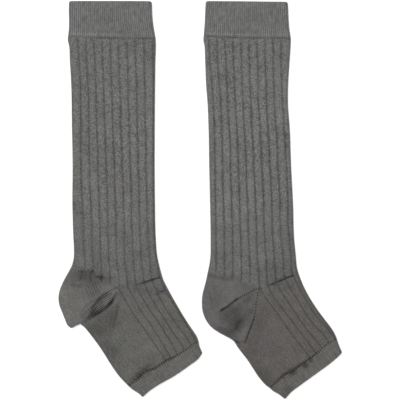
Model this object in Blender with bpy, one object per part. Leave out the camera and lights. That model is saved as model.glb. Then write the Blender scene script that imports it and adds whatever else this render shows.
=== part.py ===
"""A pair of long open-toe socks, pressed flat and lying on their sides.

Plan tables hold (right, down) in steps of 1.06 mm, cuffs uppermost, counted from above and
left of the pair. Heights are in millimetres. A share runs from a sock's back edge (0) to
its front edge (1), or from the start of a piece (0) to its end (1).
"""

from collections import namedtuple

import bpy
import numpy as np

GrooveRow = namedtuple("GrooveRow", "down first last bow")
"""Where the leg's grooves lie at one height: how far down, how far right the first and the last
groove are, and how far the ones between them bow forward."""

Fold = namedtuple("Fold", "right down to_right to_down half_width depth")
"""A straight fold of the upper side: its two ends and half width in steps, and its depth in mm
(a ridge's is below 0)."""

STEP = 1.06  # millimetres in a step of the plan
MIDDLE = np.array([200.39, 200.22])  # the pair's middle, in steps

WALL = 1.2  # the knit's thickness between ribs
BROAD_RIB = 0.75  # how far the broad ribs stand out
FINE_RIB = 0.4  # and the fine ribs of the cuff and toe band
EDGE_TOP = 2.4  # width of the rounded fold on the upper side
EDGE_UNDER = 1.6  # and on the side that rests
EDGE_HEIGHT = 1.6  # height of the fold's outermost line
TOP_STEPS = np.array([0, 0.35, 1.1, EDGE_TOP])  # points round the fold, from its outermost line
UNDER_STEPS = np.array([0.5, EDGE_UNDER])
INNER_EDGE = 0.1  # space inside, further in than the wall's thickness: at its ends
INNER_TURN = 0.7  # and where it reaches its height
SEAM = 0.4  # space between two pieces at a seam
LEAST_HOLLOW = 0.35  # least height of the space inside

CUFF_ROWS = (0, 0.06, 0.5, 0.9, 1)
LEG_ROWS = (0, 0.012, 0.06, 0.2, 0.36, 0.52, 0.68, 0.82, 0.92, 0.965, 0.988, 1)
FOOT_ROWS = (0, 0.02, 0.06, 0.12, 0.24, 0.42, 0.62, 0.82, 0.94, 1)
TOE_ROWS = (0, 0.15, 0.85, 1)
HEEL_ROWS = (0, 0.03, 0.08, 0.15, 0.24, 0.36, 0.48, 0.6, 0.7, 0.79, 0.87, 0.93, 0.97, 1)
HEEL_REACH = (0.01, 0.12, 0.24, 0.34, 0.45, 0.56, 0.67, 0.78, 0.88)
PLAIN_MARKS = tuple(k / 13 for k in range(1, 13))  # shares across where no rib sets them

LEFT = {
    # Lines across the sock, from the back edge to the front edge.
    "rim": [(68.8, 1.2), (110, 1.1), (151.8, 1.3)],
    "cuff_seam": [(67.8, 36.4), (90, 37.6), (120, 38.2), (155.6, 38.4)],
    "heel_top": [
        (69.2, 270.5), (78, 270.5), (86, 272.5), (94, 276.5), (101.5, 281), (109, 285),
        (117.6, 288.9),
    ],
    "instep": [
        (119, 289.2), (123, 288.6), (131.5, 287.5), (140.5, 285), (150.5, 282), (163, 279.3),
    ],
    "sole_edge": [
        (80.3, 324), (89.4, 317.6), (96, 314), (102.7, 310.5), (108, 306.5), (112.3, 301.8),
        (115.6, 296), (118, 291),
    ],
    "toe_seam": [
        (128.3, 386.3), (136, 380.5), (141.8, 375.2), (147.9, 370.9), (155, 368.3),
        (161.2, 364.4), (166, 361), (175.2, 356.4), (186.7, 349.1), (192.7, 344.6),
        (198.5, 341.3),
    ],
    "toe_rim": [
        (142.4, 397.3), (147, 392.8), (156.4, 386.1), (174.5, 375.8), (189.7, 365.2),
        (198.2, 358.8), (202.3, 353),
    ],
    # Edges, from the cuff towards the toe.
    "cuff_back": [(68.8, 1.2), (68.6, 9), (68.8, 21), (68.7, 28), (67.8, 36.4)],
    "cuff_front": [(151.8, 1.3), (152.1, 9), (152.8, 21), (153.8, 28), (155.6, 38.4)],
    "leg_back": [
        (67.8, 36.4), (67.6, 39.5), (68.8, 45), (69.6, 60), (71, 84), (71.7, 126), (72.4, 166),
        (72.2, 206), (73.1, 236), (73.7, 248), (73.4, 259), (71.5, 266), (69.2, 270.5),
    ],
    "leg_front": [
        (155.6, 38.4), (155.8, 42), (155.4, 60), (155, 86), (154.7, 126), (154.6, 166),
        (154.9, 206), (155.6, 236), (157.2, 256), (159.8, 268), (163, 279.3),
    ],
    "heel_back": [
        (69.2, 270.5), (65.5, 277), (62, 284), (59.3, 291), (58.3, 299), (59.3, 305.5),
        (61.8, 312), (64.6, 319), (67.6, 325.5), (71.2, 328.1), (75.7, 325.9), (80.3, 324),
    ],
    "foot_back": [
        (80.3, 324), (84.8, 328), (91.3, 336), (97.3, 344), (102.8, 352), (107.8, 360),
        (112.9, 368), (119, 376.4), (128.3, 386.3),
    ],
    "foot_front": [
        (163, 279.3), (165.3, 284), (169.5, 292), (173.9, 300), (178.5, 308), (183.2, 316),
        (188.3, 324), (193.8, 332), (197.3, 337.8), (198.5, 341.3),
    ],
    "toe_back": [(128.3, 386.3), (133, 390.2), (138.8, 393.9), (142.4, 397.3)],
    "toe_front": [(198.5, 341.3), (199.6, 346.5), (202.3, 353)],
    "grooves": 10,
    "groove_rows": [
        GrooveRow(38, 77.6, 152.4, -0.6),
        GrooveRow(55, 78.7, 152.8, -1.0),
        GrooveRow(95, 80.9, 153.7, -1.2),
        GrooveRow(135, 80.9, 153.7, 0.0),
        GrooveRow(188, 81.3, 154.1, 1.6),
        GrooveRow(217, 82.7, 154.4, 1.4),
        GrooveRow(261, 84.0, 156.8, 0.6),
        GrooveRow(279, 85.6, 160.4, 0.8),
    ],
    "foot_grooves": (0.535, 0.617, 0.71, 0.812, 0.908, 0.968),
    "folds": {
        "below the leg's ribs": Fold(75, 273.5, 100, 277.5, 3.2, 0.9),
        "tuck under the foot": Fold(112, 299.5, 93, 313, 3.4, 1.9),
        "end of the tuck": Fold(91, 314.5, 79, 321, 2.4, 0.8),
        "foot's edge on the tuck": Fold(115, 304, 92, 319.5, 2.4, -1.0),
        "ankle crease": Fold(141, 284.2, 160, 278.4, 1.8, 0.7),
        "soft crease below it": Fold(137, 291, 163, 292.5, 2.4, 0.3),
        "long hollow in the sole": Fold(118, 307, 115, 332, 4.5, 0.45),
        "hollow nearer the toe": Fold(123, 331, 112, 360, 5.0, 0.35),
        "pull at the toe seam": Fold(137, 376, 152, 366, 3.5, 0.5),
    },
}

RIGHT = {
    "rim": [(205.7, 1.2), (247, 1.5), (287.9, 2)],
    "cuff_seam": [(203.7, 36), (225, 37.4), (255, 38), (291, 38.3)],
    "heel_top": [
        (208, 271), (215.6, 274.6), (223.5, 277.6), (231.4, 279.6), (241.7, 282), (250.6, 285.6),
        (257.8, 288.6),
    ],
    "instep": [(259.5, 288.4), (265, 286.8), (271.5, 284), (279, 281), (289, 276.8), (298.5, 273)],
    "sole_edge": [
        (234.2, 341.6), (239.5, 341), (244.8, 337.8), (248.8, 332), (251.8, 325.5), (253.8, 319),
        (255.3, 311), (256.2, 303), (257, 296), (258.2, 290.6),
    ],
    "toe_seam": [
        (270, 388.4), (276, 382.6), (281.8, 377), (286.5, 374), (292.5, 371), (300.7, 364.9),
        (308.4, 359.6), (318.6, 351.8), (328, 343.6), (337, 338.6),
    ],
    "toe_rim": [
        (284.9, 399.3), (290.3, 392.8), (300.7, 384.8), (316, 373.8), (331.3, 362.4),
        (337, 357.6), (342.3, 352.4),
    ],
    "cuff_back": [(205.7, 1.2), (205.3, 9), (204.8, 21), (204.3, 28), (203.7, 36)],
    "cuff_front": [(287.9, 2), (288.4, 9), (288.9, 21), (289.5, 28), (291, 38.3)],
    "leg_back": [
        (203.7, 36), (203.4, 39.5), (204.4, 45), (205.1, 60), (206.2, 86), (207.6, 104),
        (208.6, 130), (209.3, 170), (210.1, 206), (210.6, 240), (210.4, 256), (209.3, 265),
        (208, 271),
    ],
    "leg_front": [
        (291, 38.3), (290.9, 43), (289.7, 62), (288.3, 86), (288.1, 102), (289.9, 128),
        (291.3, 166), (293.3, 206), (294.3, 238), (296, 256), (297.1, 267), (298.5, 273),
    ],
    "heel_back": [
        (208, 271), (206.2, 280), (204.1, 288), (202.3, 295.5), (201.9, 303), (202.8, 312),
        (205.9, 320), (210.6, 326.5), (217.9, 332), (225.3, 336.1), (230.5, 338.9),
        (234.2, 341.6),
    ],
    "foot_back": [
        (234.2, 341.6), (238.2, 348), (241.3, 352.2), (247.4, 360), (252.7, 368), (257.9, 376),
        (262.2, 381.4), (266, 385.4), (270, 388.4),
    ],
    "foot_front": [
        (298.5, 273), (301.1, 280), (304.6, 288), (308.8, 296), (313.7, 304), (319.2, 312),
        (325.2, 320), (331.3, 328), (335.4, 334.8), (337, 338.6),
    ],
    "toe_back": [(270, 388.4), (273, 391.2), (278.8, 394.5), (284.9, 399.3)],
    "toe_front": [(337, 338.6), (339.3, 345.6), (342.3, 352.4)],
    "grooves": 10,
    "groove_rows": [
        GrooveRow(38, 208.6, 280.6, 0.2),
        GrooveRow(63, 209.8, 281.2, 0.0),
        GrooveRow(100, 213.0, 282.2, -0.9),
        GrooveRow(151, 214.9, 285.3, -0.6),
        GrooveRow(205, 215.4, 287.9, 0.0),
        GrooveRow(236, 215.8, 287.9, 0.7),
        GrooveRow(274, 216.2, 291.6, 0.9),
    ],
    "foot_grooves": (0.545, 0.64, 0.74, 0.84, 0.935),
    "folds": {
        "below the leg's ribs": Fold(212, 278, 240, 284.5, 3.0, 0.45),
        "gore drawn in": Fold(243, 296.5, 219, 311.5, 2.2, 1.7),
        "hollow of the heel": Fold(249, 310, 231, 331, 5.0, 1.3),
        "foot's edge on the heel": Fold(258.8, 297, 251.5, 337, 2.2, -0.9),
        "ankle crease": Fold(268, 285.4, 294, 274.6, 1.8, 0.7),
        "soft crease below it": Fold(272, 293, 300, 281, 2.4, 0.25),
        "hollow in the sole": Fold(262, 312, 256, 345, 5.0, 0.35),
        "pull at the toe seam": Fold(286, 373, 304, 361, 3.5, 0.5),
    },
}

# Hollow height inside each piece, in mm, at its start and end.
HOLLOWS = {"cuff": (1.3, 1.4), "leg": (1.0, 1.2), "foot": (1.5, 1.1), "toe_band": (1.1, 1.3)}
HEEL_LOFT = 1.9  # how much higher the heel pocket stands in its middle
HEEL_SIZE = 58.0  # from the ankle's side of the pocket to the back edge
GORE_OPEN = 2.0  # the pocket's width at the gore's point
HEEL_SPREAD = HEEL_SIZE - GORE_OPEN  # how much wider it is at the back edge
INNER_RISE = 2.4  # width over which the space inside it rises to its full height
LENGTHS = {"cuff": 38, "leg": 250, "foot": 80, "toe_band": 15}  # from seam to seam
FINE_RIBS = {"cuff": 42, "toe_band": 37}  # on the side that shows

COLOURS = {
    "cuff": (0.151, 0.153, 0.148, 1),
    "leg": (0.144, 0.142, 0.137, 1),
    "heel": (0.133, 0.129, 0.124, 1),
    "foot": (0.112, 0.105, 0.100, 1),
    "toe_band": (0.128, 0.124, 0.118, 1),
}


class Line:
    """A smooth line through plan points, read at shares of its length or at the shares given."""

    def __init__(self, points, shares=None):
        self.points = np.array(points, float)
        if shares is None:
            shares = run_of(self.points)
        self.shares = np.array(shares, float)
        self.slopes = np.gradient(self.points, self.shares, axis=0)

    def __call__(self, share):
        share = np.asarray(share, float)
        i = np.clip(np.searchsorted(self.shares, share, side="right") - 1, 0, len(self.shares) - 2)
        span = (self.shares[i + 1] - self.shares[i])[..., None]
        u = (share - self.shares[i])[..., None] / span
        return (
            (2 * u**3 - 3 * u**2 + 1) * self.points[i]
            + (u**3 - 2 * u**2 + u) * span * self.slopes[i]
            + (3 * u**2 - 2 * u**3) * self.points[i + 1]
            + (u**3 - u**2) * span * self.slopes[i + 1]
        )


class Joined:
    """Two lines one after the other, meeting at a corner."""

    def __init__(self, first, second, meet):
        self.first, self.second, self.meet = first, second, meet

    def __call__(self, share):
        share = np.asarray(share, float)
        before = self.first(np.minimum(share, self.meet) / self.meet)
        after = self.second((np.maximum(share, self.meet) - self.meet) / (1 - self.meet))
        return np.where((share < self.meet)[..., None], before, after)


def run_of(points):
    """The share of a line's length at each of its points."""
    steps = np.linalg.norm(np.diff(points, axis=0), axis=1)
    return np.concatenate([[0], np.cumsum(steps)]) / steps.sum()


class Field:
    """Plan positions inside four lines: start and end run back to front, back and front along."""

    def __init__(self, start, end, back, front):
        self.lines = start, end, back, front

    def __call__(self, across, along):
        start, end, back, front = self.lines
        v, w = across[..., None], along[..., None]
        corners = (
            (1 - v) * (1 - w) * start(0.0) + v * (1 - w) * start(1.0)
            + (1 - v) * w * end(0.0) + v * w * end(1.0)
        )
        return (
            (1 - w) * start(across) + w * end(across)
            + (1 - v) * back(along) + v * front(along) - corners
        )


def fold_depth(folds, plan):
    """How far the folds press the upper side down at plan positions, in mm."""
    depth = np.zeros(plan.shape[:-1])
    for x0, y0, x1, y1, width, deep in folds.values():
        start = np.array([x0, y0])
        run = np.array([x1, y1]) - start
        share = np.clip((plan - start) @ run / (run @ run), 0, 1)
        away = np.linalg.norm(plan - start - share[..., None] * run, axis=-1)
        depth += deep * np.exp(-((away / width) ** 2))
    return depth


def rounded(inward, width):
    """0 at a fold's outermost line, 1 from `width` inward."""
    return np.sqrt(1 - np.clip(1 - inward / width, 0, 1) ** 2)


def broad_ribs(first, grooves, last):
    """Shares across, and the height of each as part of a rib's, for ribs between grooves."""
    shares, heights = [], []
    pitch = grooves[1] - grooves[0]
    shares += [0.5 * (first + grooves[0] - 0.16 * pitch), grooves[0] - 0.16 * pitch]
    heights += [0.9, 0.8]
    for here, after in zip(grooves, grooves[1:]):
        shares += [here + part * (after - here) for part in (0, 0.16, 0.5, 0.84)]
        heights += [0, 0.8, 1, 0.8]
    pitch = min(pitch, last - grooves[-1])
    shares += [grooves[-1], grooves[-1] + 0.3 * pitch]
    heights += [0, 0.7]
    return shares, heights


def fine_ribs(first, last, count):
    """Shares across and heights of fine ribs: one point on each and one between two."""
    shares = np.linspace(first, last, 2 * count + 3)[1:-1]
    return list(shares), [k % 2 for k in range(len(shares))]


def ring(width, hollow, folds, place, shares, heights, rib, marks):
    """One ring round the sock, as (shares, heights) of its outer and its inner points, from the
    back edge over the top to the front edge and back underneath."""
    upper = np.concatenate([TOP_STEPS / width, shares, 1 - TOP_STEPS[::-1] / width])
    raised = rib * np.concatenate([np.full(4, 0.5), heights, np.full(4, 0.5)])
    reach = np.minimum(upper, 1 - upper) * width
    inside = np.maximum(hollow - fold_depth(folds, place(upper)), LEAST_HOLLOW)
    full = 2 * WALL + inside + raised
    top = EDGE_HEIGHT + (full - EDGE_HEIGHT) * rounded(reach, EDGE_TOP)
    flat = np.concatenate([[EDGE_UNDER / width], marks, [1 - EDGE_UNDER / width]])
    lower = np.concatenate([UNDER_STEPS[:1] / width, flat, 1 - UNDER_STEPS[:1] / width])[::-1]
    under = EDGE_HEIGHT * (1 - rounded(np.minimum(lower, 1 - lower) * width, EDGE_UNDER))
    outer = np.concatenate([upper, lower]), np.concatenate([top, under])

    edge, turn = (WALL + INNER_EDGE) / width, (WALL + INNER_TURN) / width
    middle = np.concatenate([[turn], marks, [1 - turn]])
    ceiling = WALL + np.maximum(hollow - fold_depth(folds, place(middle)), LEAST_HOLLOW)
    ends = WALL + 0.5 * LEAST_HOLLOW
    inner = (
        np.concatenate([[edge], middle, [1 - edge], middle[::-1]]),
        np.concatenate([[ends], ceiling, [ends], np.full(len(middle), WALL)]),
    )
    return outer, inner


def stitched(first, second):
    """Triangles between two closed rings, given as (start index, places round)."""
    (a0, a), (b0, b) = first, second
    faces, i, j = [], 0, 0
    while i < len(a) or j < len(b):
        next_a = a[i + 1] if i + 1 < len(a) else 1.0
        next_b = b[j + 1] if j + 1 < len(b) else 1.0
        here_a, here_b = a0 + i % len(a), b0 + j % len(b)
        if j >= len(b) or (i < len(a) and next_a <= next_b):
            faces.append((here_a, a0 + (i + 1) % len(a), here_b))
            i += 1
        else:
            faces.append((here_a, b0 + (j + 1) % len(b), here_b))
            j += 1
    return faces


def places_round(shares, turn):
    """Where each point of a ring lies on its way round, from 0 to 1."""
    upper, lower = shares[:turn], shares[turn:]
    return np.concatenate([upper / 2, 1 - lower / 2])


def tube(
    name, colour, field, folds, rows, length, hollows, ribs_at, rib, collection, marks=PLAIN_MARKS
):
    """A pressed tube of knit: rings of points outside and inside, joined at both open ends."""
    ends = 0.5 * SEAM / length
    outer_rings, inner_rings = [], []
    for row in rows:
        along = ends + row * (1 - 2 * ends)

        def place(across, along=along):
            return field(across, np.full(len(across), along))

        width = STEP * np.linalg.norm(np.diff(place(np.linspace(0, 1, 25)), axis=0), axis=1).sum()
        first, last = EDGE_TOP / width, 1 - EDGE_TOP / width
        shares, heights = ribs_at(place, along, first, last)
        hollow = hollows[0] + (hollows[1] - hollows[0]) * along
        outer, inner = ring(width, hollow, folds, place, shares, heights, rib, marks)
        outer_rings.append((place(outer[0]), outer[1], outer[0]))
        inner_rings.append((place(inner[0]), inner[1], inner[0]))
    count, small = len(outer_rings[0][0]), len(inner_rings[0][0])
    points = [solid_points(plan, height) for plan, height, _ in outer_rings + inner_rings]
    faces = []
    for row in range(len(rows) - 1):
        faces += band(row * count, (row + 1) * count, count)
        inside = len(rows) * count + row * small
        faces += [face[::-1] for face in band(inside, inside + small, small)]
    under = len(marks) + 4
    for row, flipped in ((0, False), (len(rows) - 1, True)):
        outside = (row * count, places_round(outer_rings[row][2], count - under))
        inside = (len(rows) * count + row * small, places_round(inner_rings[row][2], len(marks) + 4))
        rim = stitched(outside, inside)
        faces += [face[::-1] for face in rim] if flipped else rim
    return finished(name, colour, np.concatenate(points), faces, collection)


def band(start, after, count):
    """Quads between a ring of points and the next one along."""
    return [
        (start + k, after + k, after + (k + 1) % count, start + (k + 1) % count)
        for k in range(count)
    ]


def heel(name, colour, field, folds, collection):
    """The heel pocket: a wedge of knit folded round the back edge, open towards the ankle."""
    points = []
    for row in HEEL_ROWS:
        upper = np.concatenate([HEEL_REACH, 1 - TOP_STEPS[::-1] / HEEL_SIZE])
        lower = np.concatenate([1 - UNDER_STEPS / HEEL_SIZE, HEEL_REACH[::-1]])
        outer = np.concatenate([upper, lower])
        inset = WALL + INNER_EDGE + 0.4 * (1 - steps_gap(upper, HEEL_SIZE))
        inner_upper = np.minimum(upper, 1 - inset / HEEL_SIZE)
        inner_lower = np.minimum(lower, 1 - (WALL + 0.5) / HEEL_SIZE)
        inner = np.concatenate([inner_upper, inner_lower])
        heights = []
        for shares, wall, kind in ((outer, 0, "outer"), (inner, WALL, "inner")):
            spread = GORE_OPEN + HEEL_SPREAD * shares
            margin = 0.5 * SEAM / spread
            across = margin + row * (1 - 2 * margin)
            plan = field(across, shares)
            over = np.sin(np.pi * row) ** 0.7 * np.sin(np.pi * np.clip(shares, 0, 1)) ** 0.5
            hollow = 1.2 + HEEL_LOFT * over - fold_depth(folds, plan)
            hollow = np.maximum(hollow, LEAST_HOLLOW)
            inward = (1 - shares) * HEEL_SIZE
            is_top = np.arange(len(shares)) < len(upper)
            if kind == "outer":
                top = EDGE_HEIGHT + (2 * WALL + hollow - EDGE_HEIGHT) * rounded(inward, EDGE_TOP)
                under = EDGE_HEIGHT * (1 - rounded(inward, EDGE_UNDER))
            else:
                rise = np.clip((inward - WALL - INNER_EDGE) / INNER_RISE, 0, 1) ** 0.6
                top = WALL + 0.12 + (hollow - 0.12) * rise
                under = np.full(len(shares), WALL)
            heights.append((plan, np.where(is_top, top, under)))
        for plan, height in heights:
            points.append(solid_points(plan, height))
    size = len(points[0])
    faces = []
    for row in range(len(HEEL_ROWS) - 1):
        out0, in0 = 2 * row * size, (2 * row + 1) * size
        out1, in1 = out0 + 2 * size, in0 + 2 * size
        for k in range(size - 1):
            faces.append((out0 + k, out0 + k + 1, out1 + k + 1, out1 + k))
            faces.append((in0 + k, in1 + k, in1 + k + 1, in0 + k + 1))
        faces.append((out0, out1, in1, in0))
        faces.append((out0 + size - 1, in0 + size - 1, in1 + size - 1, out1 + size - 1))
    last = 2 * (len(HEEL_ROWS) - 1) * size
    for k in range(size - 1):
        faces.append((k, size + k, size + k + 1, k + 1))
        faces.append((last + k, last + k + 1, last + size + k + 1, last + size + k))
    return finished(name, colour, np.concatenate(points), faces, collection)


def steps_gap(shares, size):
    """How far in from the back edge a point lies, as a part of the rounded fold's width."""
    return np.clip((1 - shares) * size / EDGE_TOP, 0, 1)


def solid_points(plan, height):
    """Metres in the pair's own frame from plan steps and heights in mm."""
    flat = (plan - MIDDLE) * STEP * (1, -1)
    return np.column_stack([flat, height]) / 1000


def finished(name, colour, points, faces, collection):
    """A smooth shaded piece with its own knit material."""
    mesh = bpy.data.meshes.new(name)
    mesh.from_pydata(points.tolist(), [], [tuple(int(i) for i in face) for face in faces])
    mesh.validate()
    mesh.shade_smooth()
    mesh.set_sharp_from_angle(angle=np.radians(55))
    material = bpy.data.materials.new(name + "_knit")
    material.use_nodes = True
    shader = material.node_tree.nodes["Principled BSDF"]
    shader.inputs["Base Color"].default_value = colour
    shader.inputs["Roughness"].default_value = 0.95
    mesh.materials.append(material)
    piece = bpy.data.objects.new(name, mesh)
    collection.objects.link(piece)
    return piece


def shares_by_right(points, ends):
    """Shares for a line whose points are placed by how far right they lie between two ends."""
    right = np.array(points)[:, 0]
    return (right - ends[0]) / (ends[1] - ends[0])


def is_line(entry):
    """Whether an entry of a sock's table is a list of plan points."""
    return isinstance(entry, list) and len(entry[0]) == 2


def sock(side, table, collection):
    """The five pieces of one sock."""
    line = {key: Line(points) for key, points in table.items() if is_line(points)}
    back, front = table["heel_top"][0][0], table["instep"][-1][0]
    middle = table["instep"][0]
    apex = (middle[0] - back) / (front - back)
    instep = Line(table["instep"], shares_by_right(table["instep"], (middle[0], front)))
    heel_top = table["heel_top"] + [middle]
    leg_end = Joined(Line(heel_top, shares_by_right(heel_top, (back, middle[0]))), instep, apex)
    sole_edge = Line(table["sole_edge"] + [middle])
    foot_start = Joined(sole_edge, instep, apex)

    cuff = Field(line["rim"], line["cuff_seam"], line["cuff_back"], line["cuff_front"])
    leg = Field(line["cuff_seam"], leg_end, line["leg_back"], line["leg_front"])
    foot = Field(foot_start, line["toe_seam"], line["foot_back"], line["foot_front"])
    toe = Field(line["toe_seam"], line["toe_rim"], line["toe_back"], line["toe_front"])

    # The heel's lines run the other way: from the gore's point out to the back edge.
    top_share = apex * leg_end.first.shares[-2]
    sole_share = apex * sole_edge.shares[-2]
    gore = Line([table["heel_top"][-1], table["sole_edge"][-1]])

    def heel_start(along):
        return leg_end(top_share * (1 - np.asarray(along)))

    def heel_end(along):
        return foot_start(sole_share * (1 - np.asarray(along)))

    def heel_field(across, along):
        w, v = along[..., None], across[..., None]
        corners = (
            (1 - v) * (1 - w) * heel_start(0.0) + (1 - v) * w * heel_start(1.0)
            + v * (1 - w) * heel_end(0.0) + v * w * heel_end(1.0)
        )
        return (
            (1 - v) * heel_start(along) + v * heel_end(along)
            + (1 - w) * gore(across) + w * line["heel_back"](across) - corners
        )

    rows = np.array(table["groove_rows"])
    order = np.linspace(0, 1, table["grooves"])

    def leg_ribs(place, along, first, last):
        ends = place(np.array([0.0, 0.5, 1.0]))
        down = ends[1, 1]
        low, high, bow = (np.interp(down, rows[:, 0], rows[:, k]) for k in (1, 2, 3))
        grooves = low + (high - low) * order + 4 * bow * order * (1 - order)
        across = (grooves - ends[0, 0]) / (ends[2, 0] - ends[0, 0])
        across = np.clip(across, first + 0.008, last - 0.008)
        return broad_ribs(first, list(across), last)

    def foot_ribs(place, along, first, last):
        plain = [share for share in foot_marks if share < table["foot_grooves"][0] - 0.02]
        shares, heights = broad_ribs(plain[-1], list(table["foot_grooves"]), last)
        return plain + shares[1:], [0.6] * len(plain) + heights[1:]

    def fine(count):
        return lambda place, along, first, last: fine_ribs(first, last, count)

    folds = table["folds"]
    front_marks = [apex, *np.linspace(apex, 1, 7)[1:-1]]
    leg_marks = [*(top_share * (1 - reach) for reach in HEEL_REACH[::-1]), top_share, *front_marks]
    foot_marks = [*(sole_share * (1 - reach) for reach in HEEL_REACH[::-1]), sole_share, *front_marks]
    common = {"folds": folds, "collection": collection}
    tube(
        f"{side}_cuff", COLOURS["cuff"], cuff, rows=CUFF_ROWS, length=LENGTHS["cuff"],
        hollows=HOLLOWS["cuff"], ribs_at=fine(FINE_RIBS["cuff"]), rib=FINE_RIB, **common,
    )
    tube(
        f"{side}_leg", COLOURS["leg"], leg, rows=LEG_ROWS, length=LENGTHS["leg"],
        hollows=HOLLOWS["leg"], ribs_at=leg_ribs, rib=BROAD_RIB, marks=leg_marks, **common,
    )
    heel(f"{side}_heel", COLOURS["heel"], heel_field, folds, collection)
    tube(
        f"{side}_foot", COLOURS["foot"], foot, rows=FOOT_ROWS, length=LENGTHS["foot"],
        hollows=HOLLOWS["foot"], ribs_at=foot_ribs, rib=BROAD_RIB, marks=foot_marks, **common,
    )
    tube(
        f"{side}_toe_band", COLOURS["toe_band"], toe, rows=TOE_ROWS, length=LENGTHS["toe_band"],
        hollows=HOLLOWS["toe_band"], ribs_at=fine(FINE_RIBS["toe_band"]), rib=FINE_RIB, **common,
    )


def main():
    for thing in list(bpy.data.objects):
        bpy.data.objects.remove(thing, do_unlink=True)
    collection = bpy.data.collections.new("pair of long open-toe socks")
    bpy.context.scene.collection.children.link(collection)
    sock("left", LEFT, collection)
    sock("right", RIGHT, collection)


main()
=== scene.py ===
"""A pair of long open-toe socks in grey heathered rib knit, pressed flat on a pale table.

Plan places are (right, down) in steps of 1.06 mm with the cuffs uppermost, and heights,
widths and depths are in millimetres, until `metres` turns them into the frame's own units.
A share runs from a sock's back edge (0) to its front edge (1), or from the start of a piece
(0) to its end (1).
"""

from collections import namedtuple
from functools import partial

import bpy
import numpy as np
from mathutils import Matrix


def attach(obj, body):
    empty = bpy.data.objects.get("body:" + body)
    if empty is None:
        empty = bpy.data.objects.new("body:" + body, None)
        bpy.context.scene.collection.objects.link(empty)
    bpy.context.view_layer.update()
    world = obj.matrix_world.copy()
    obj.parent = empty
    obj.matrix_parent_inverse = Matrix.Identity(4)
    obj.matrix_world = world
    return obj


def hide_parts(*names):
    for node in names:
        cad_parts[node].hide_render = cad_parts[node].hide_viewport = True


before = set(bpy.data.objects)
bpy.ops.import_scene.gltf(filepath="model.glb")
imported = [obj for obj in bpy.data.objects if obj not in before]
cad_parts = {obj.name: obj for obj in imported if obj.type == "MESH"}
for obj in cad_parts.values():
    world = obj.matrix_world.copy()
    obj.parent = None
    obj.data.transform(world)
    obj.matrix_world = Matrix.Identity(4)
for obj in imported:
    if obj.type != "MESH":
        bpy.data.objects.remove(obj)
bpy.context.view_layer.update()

STEP = 1.06  # millimetres in a step of the plan
MIDDLE = np.array([200.39, 200.22])  # the pair's middle, in steps

WALL = 1.2  # one layer of knit
INSET = WALL + 0.15  # how far the inside lies from a sock's edge
EDGE_TOP = 2.4  # width of the rounded fold at a sock's edge, on the upper side
EDGE_UNDER = 1.6  # and on the side that rests
EDGE_HEIGHT = 1.6  # height of the fold's outermost line
LEAST_HEIGHT = 1.0  # the lowest that folds press the upper side
LEAST_LAYER = 0.5  # the thinnest that they press the upper layer
LEAST_HOLLOW = 0.15  # the least space that they leave between the two layers
UNEVEN_LIE = 0.12  # how far the knit lies off its even height
UNDER_RIB, UNDER_FOLD = 0.5, 0.25  # how much of a rib's height and of a fold's depth the underside has
DEEPEST_UNDER = 1.4  # the fold depth beyond which the underside rises no further
LIP_REACH = 1.2  # how far the rounding of a cut end reaches, as a share of the way to the end's line
LIP_TURNS = (30, 60, 90, 120, 150)  # the degrees round it at which it has rows
RIM_IN, RIM_ROUND = 0.028, 2.4  # share by which a cuff is narrower at its rim, and how soon it widens
HEEL_LOFT = 1.9  # how much higher the heel pocket stands in its middle
HEEL_HOLLOW = 1.25  # height of the hollow in a heel
HEEL_EXTRA = 0.6  # how much thicker a heel's upper layer is than a wall

WALE = 1.03  # width of one column of stitches
COURSE = 0.75  # height of one row of stitches
HEEL_WALE, HEEL_COURSE = 2.05, 1.95  # the heel's stitches are coarser
WALES_IN_RIB, WALES_IN_FINE_RIB = 8, 2
LEG_FURROWS = 10  # those that show between a leg's broad ribs
GROOVE_WIDTH = {"leg": 1.15, "foot": 0.85}  # half width of the furrow between two broad ribs
BROAD_RIB = {"leg": 0.85, "foot": 0.6}  # how far the broad ribs stand out
FLANK, CROWN = 0.7, 0.3  # shares of a broad rib's height that its flanks and its round crown take
LEG_FADES = (9, 5)  # how far ribs take to come in below the cuff seam, and to run out above the heel
FURROW_SHADES = {"leg": (0.3, 0.12), "foot": (0.2, 0.22)}  # painted shade in a furrow, partly the purl stitches' own darker look and partly the shade that falls there, broadly and in its floor
FURROW_REACH = (1.17, 0.5)  # how wide those two shades are, as shares of the groove's half width
FURROW_UNEVEN = (0.55, 1.45)  # between what shares the broad one changes from row to row
FURROW_SWAY = 0.35  # how far a leg's furrow wanders, in steps
FURROW_NEAREST = 0.012  # the share across that a leg's furrow keeps from the sock's edges
# How strong the painted shade in the leg's furrows is and how strong the yarn's speckle is, and how
# light the leg is, at shares of its length.
FURROWS_ALONG = {
    "left": ((0, 0.17, 0.41, 0.65, 0.82), (0.88, 0.88, 1.04, 1.0, 0.74)),
    "right": ((0, 0.17, 0.41, 0.65, 0.82), (1.0, 1.0, 1.14, 1.2, 1.0)),
}
SPECKLE_ALONG = ((0, 0.5, 0.65, 0.8, 1), (0.96, 0.96, 0.87, 0.72, 0.66))
TONE_ALONG = ((0, 0.3, 0.65, 1), (0.97, 1.03, 1.02, 0.9))
FINE_RIBS = {"cuff": 42, "toe_band": 37}
FINE_RIB = 0.42  # how far the fine ribs stand out
FINE_SHADE = 0.5  # how dark the painted shade in the furrows between them is

EDGE_SHADE = (0.16, 1.3)  # how dark the painted shade along a sock's rounded outermost line is, and how far in that reaches
SIDE_SHADE = (0.1, 0.24)  # how dark the painted shade of a groove is in the strips beside the back and the front edge
SIDE_STRIP = (1.9, 0.8)  # how far from the edge they lie, and half their width
UNDER_SHADE = 0.4  # how much of the folds' and patches' painted shade and light the underside has
INSIDE_IN_SHADE = 0.6  # painted shade: how bright the inside is beside the outside
DARKEST = 0.1  # the least that painted shade leaves of the yarn's colour
INSTEP_FADE = 0.3  # share of the foot's length over which the instep's tone turns into the foot's
PLUM = np.array([0.005, -0.025, 0.02])  # the change of colour that leans a grey to plum

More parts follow.
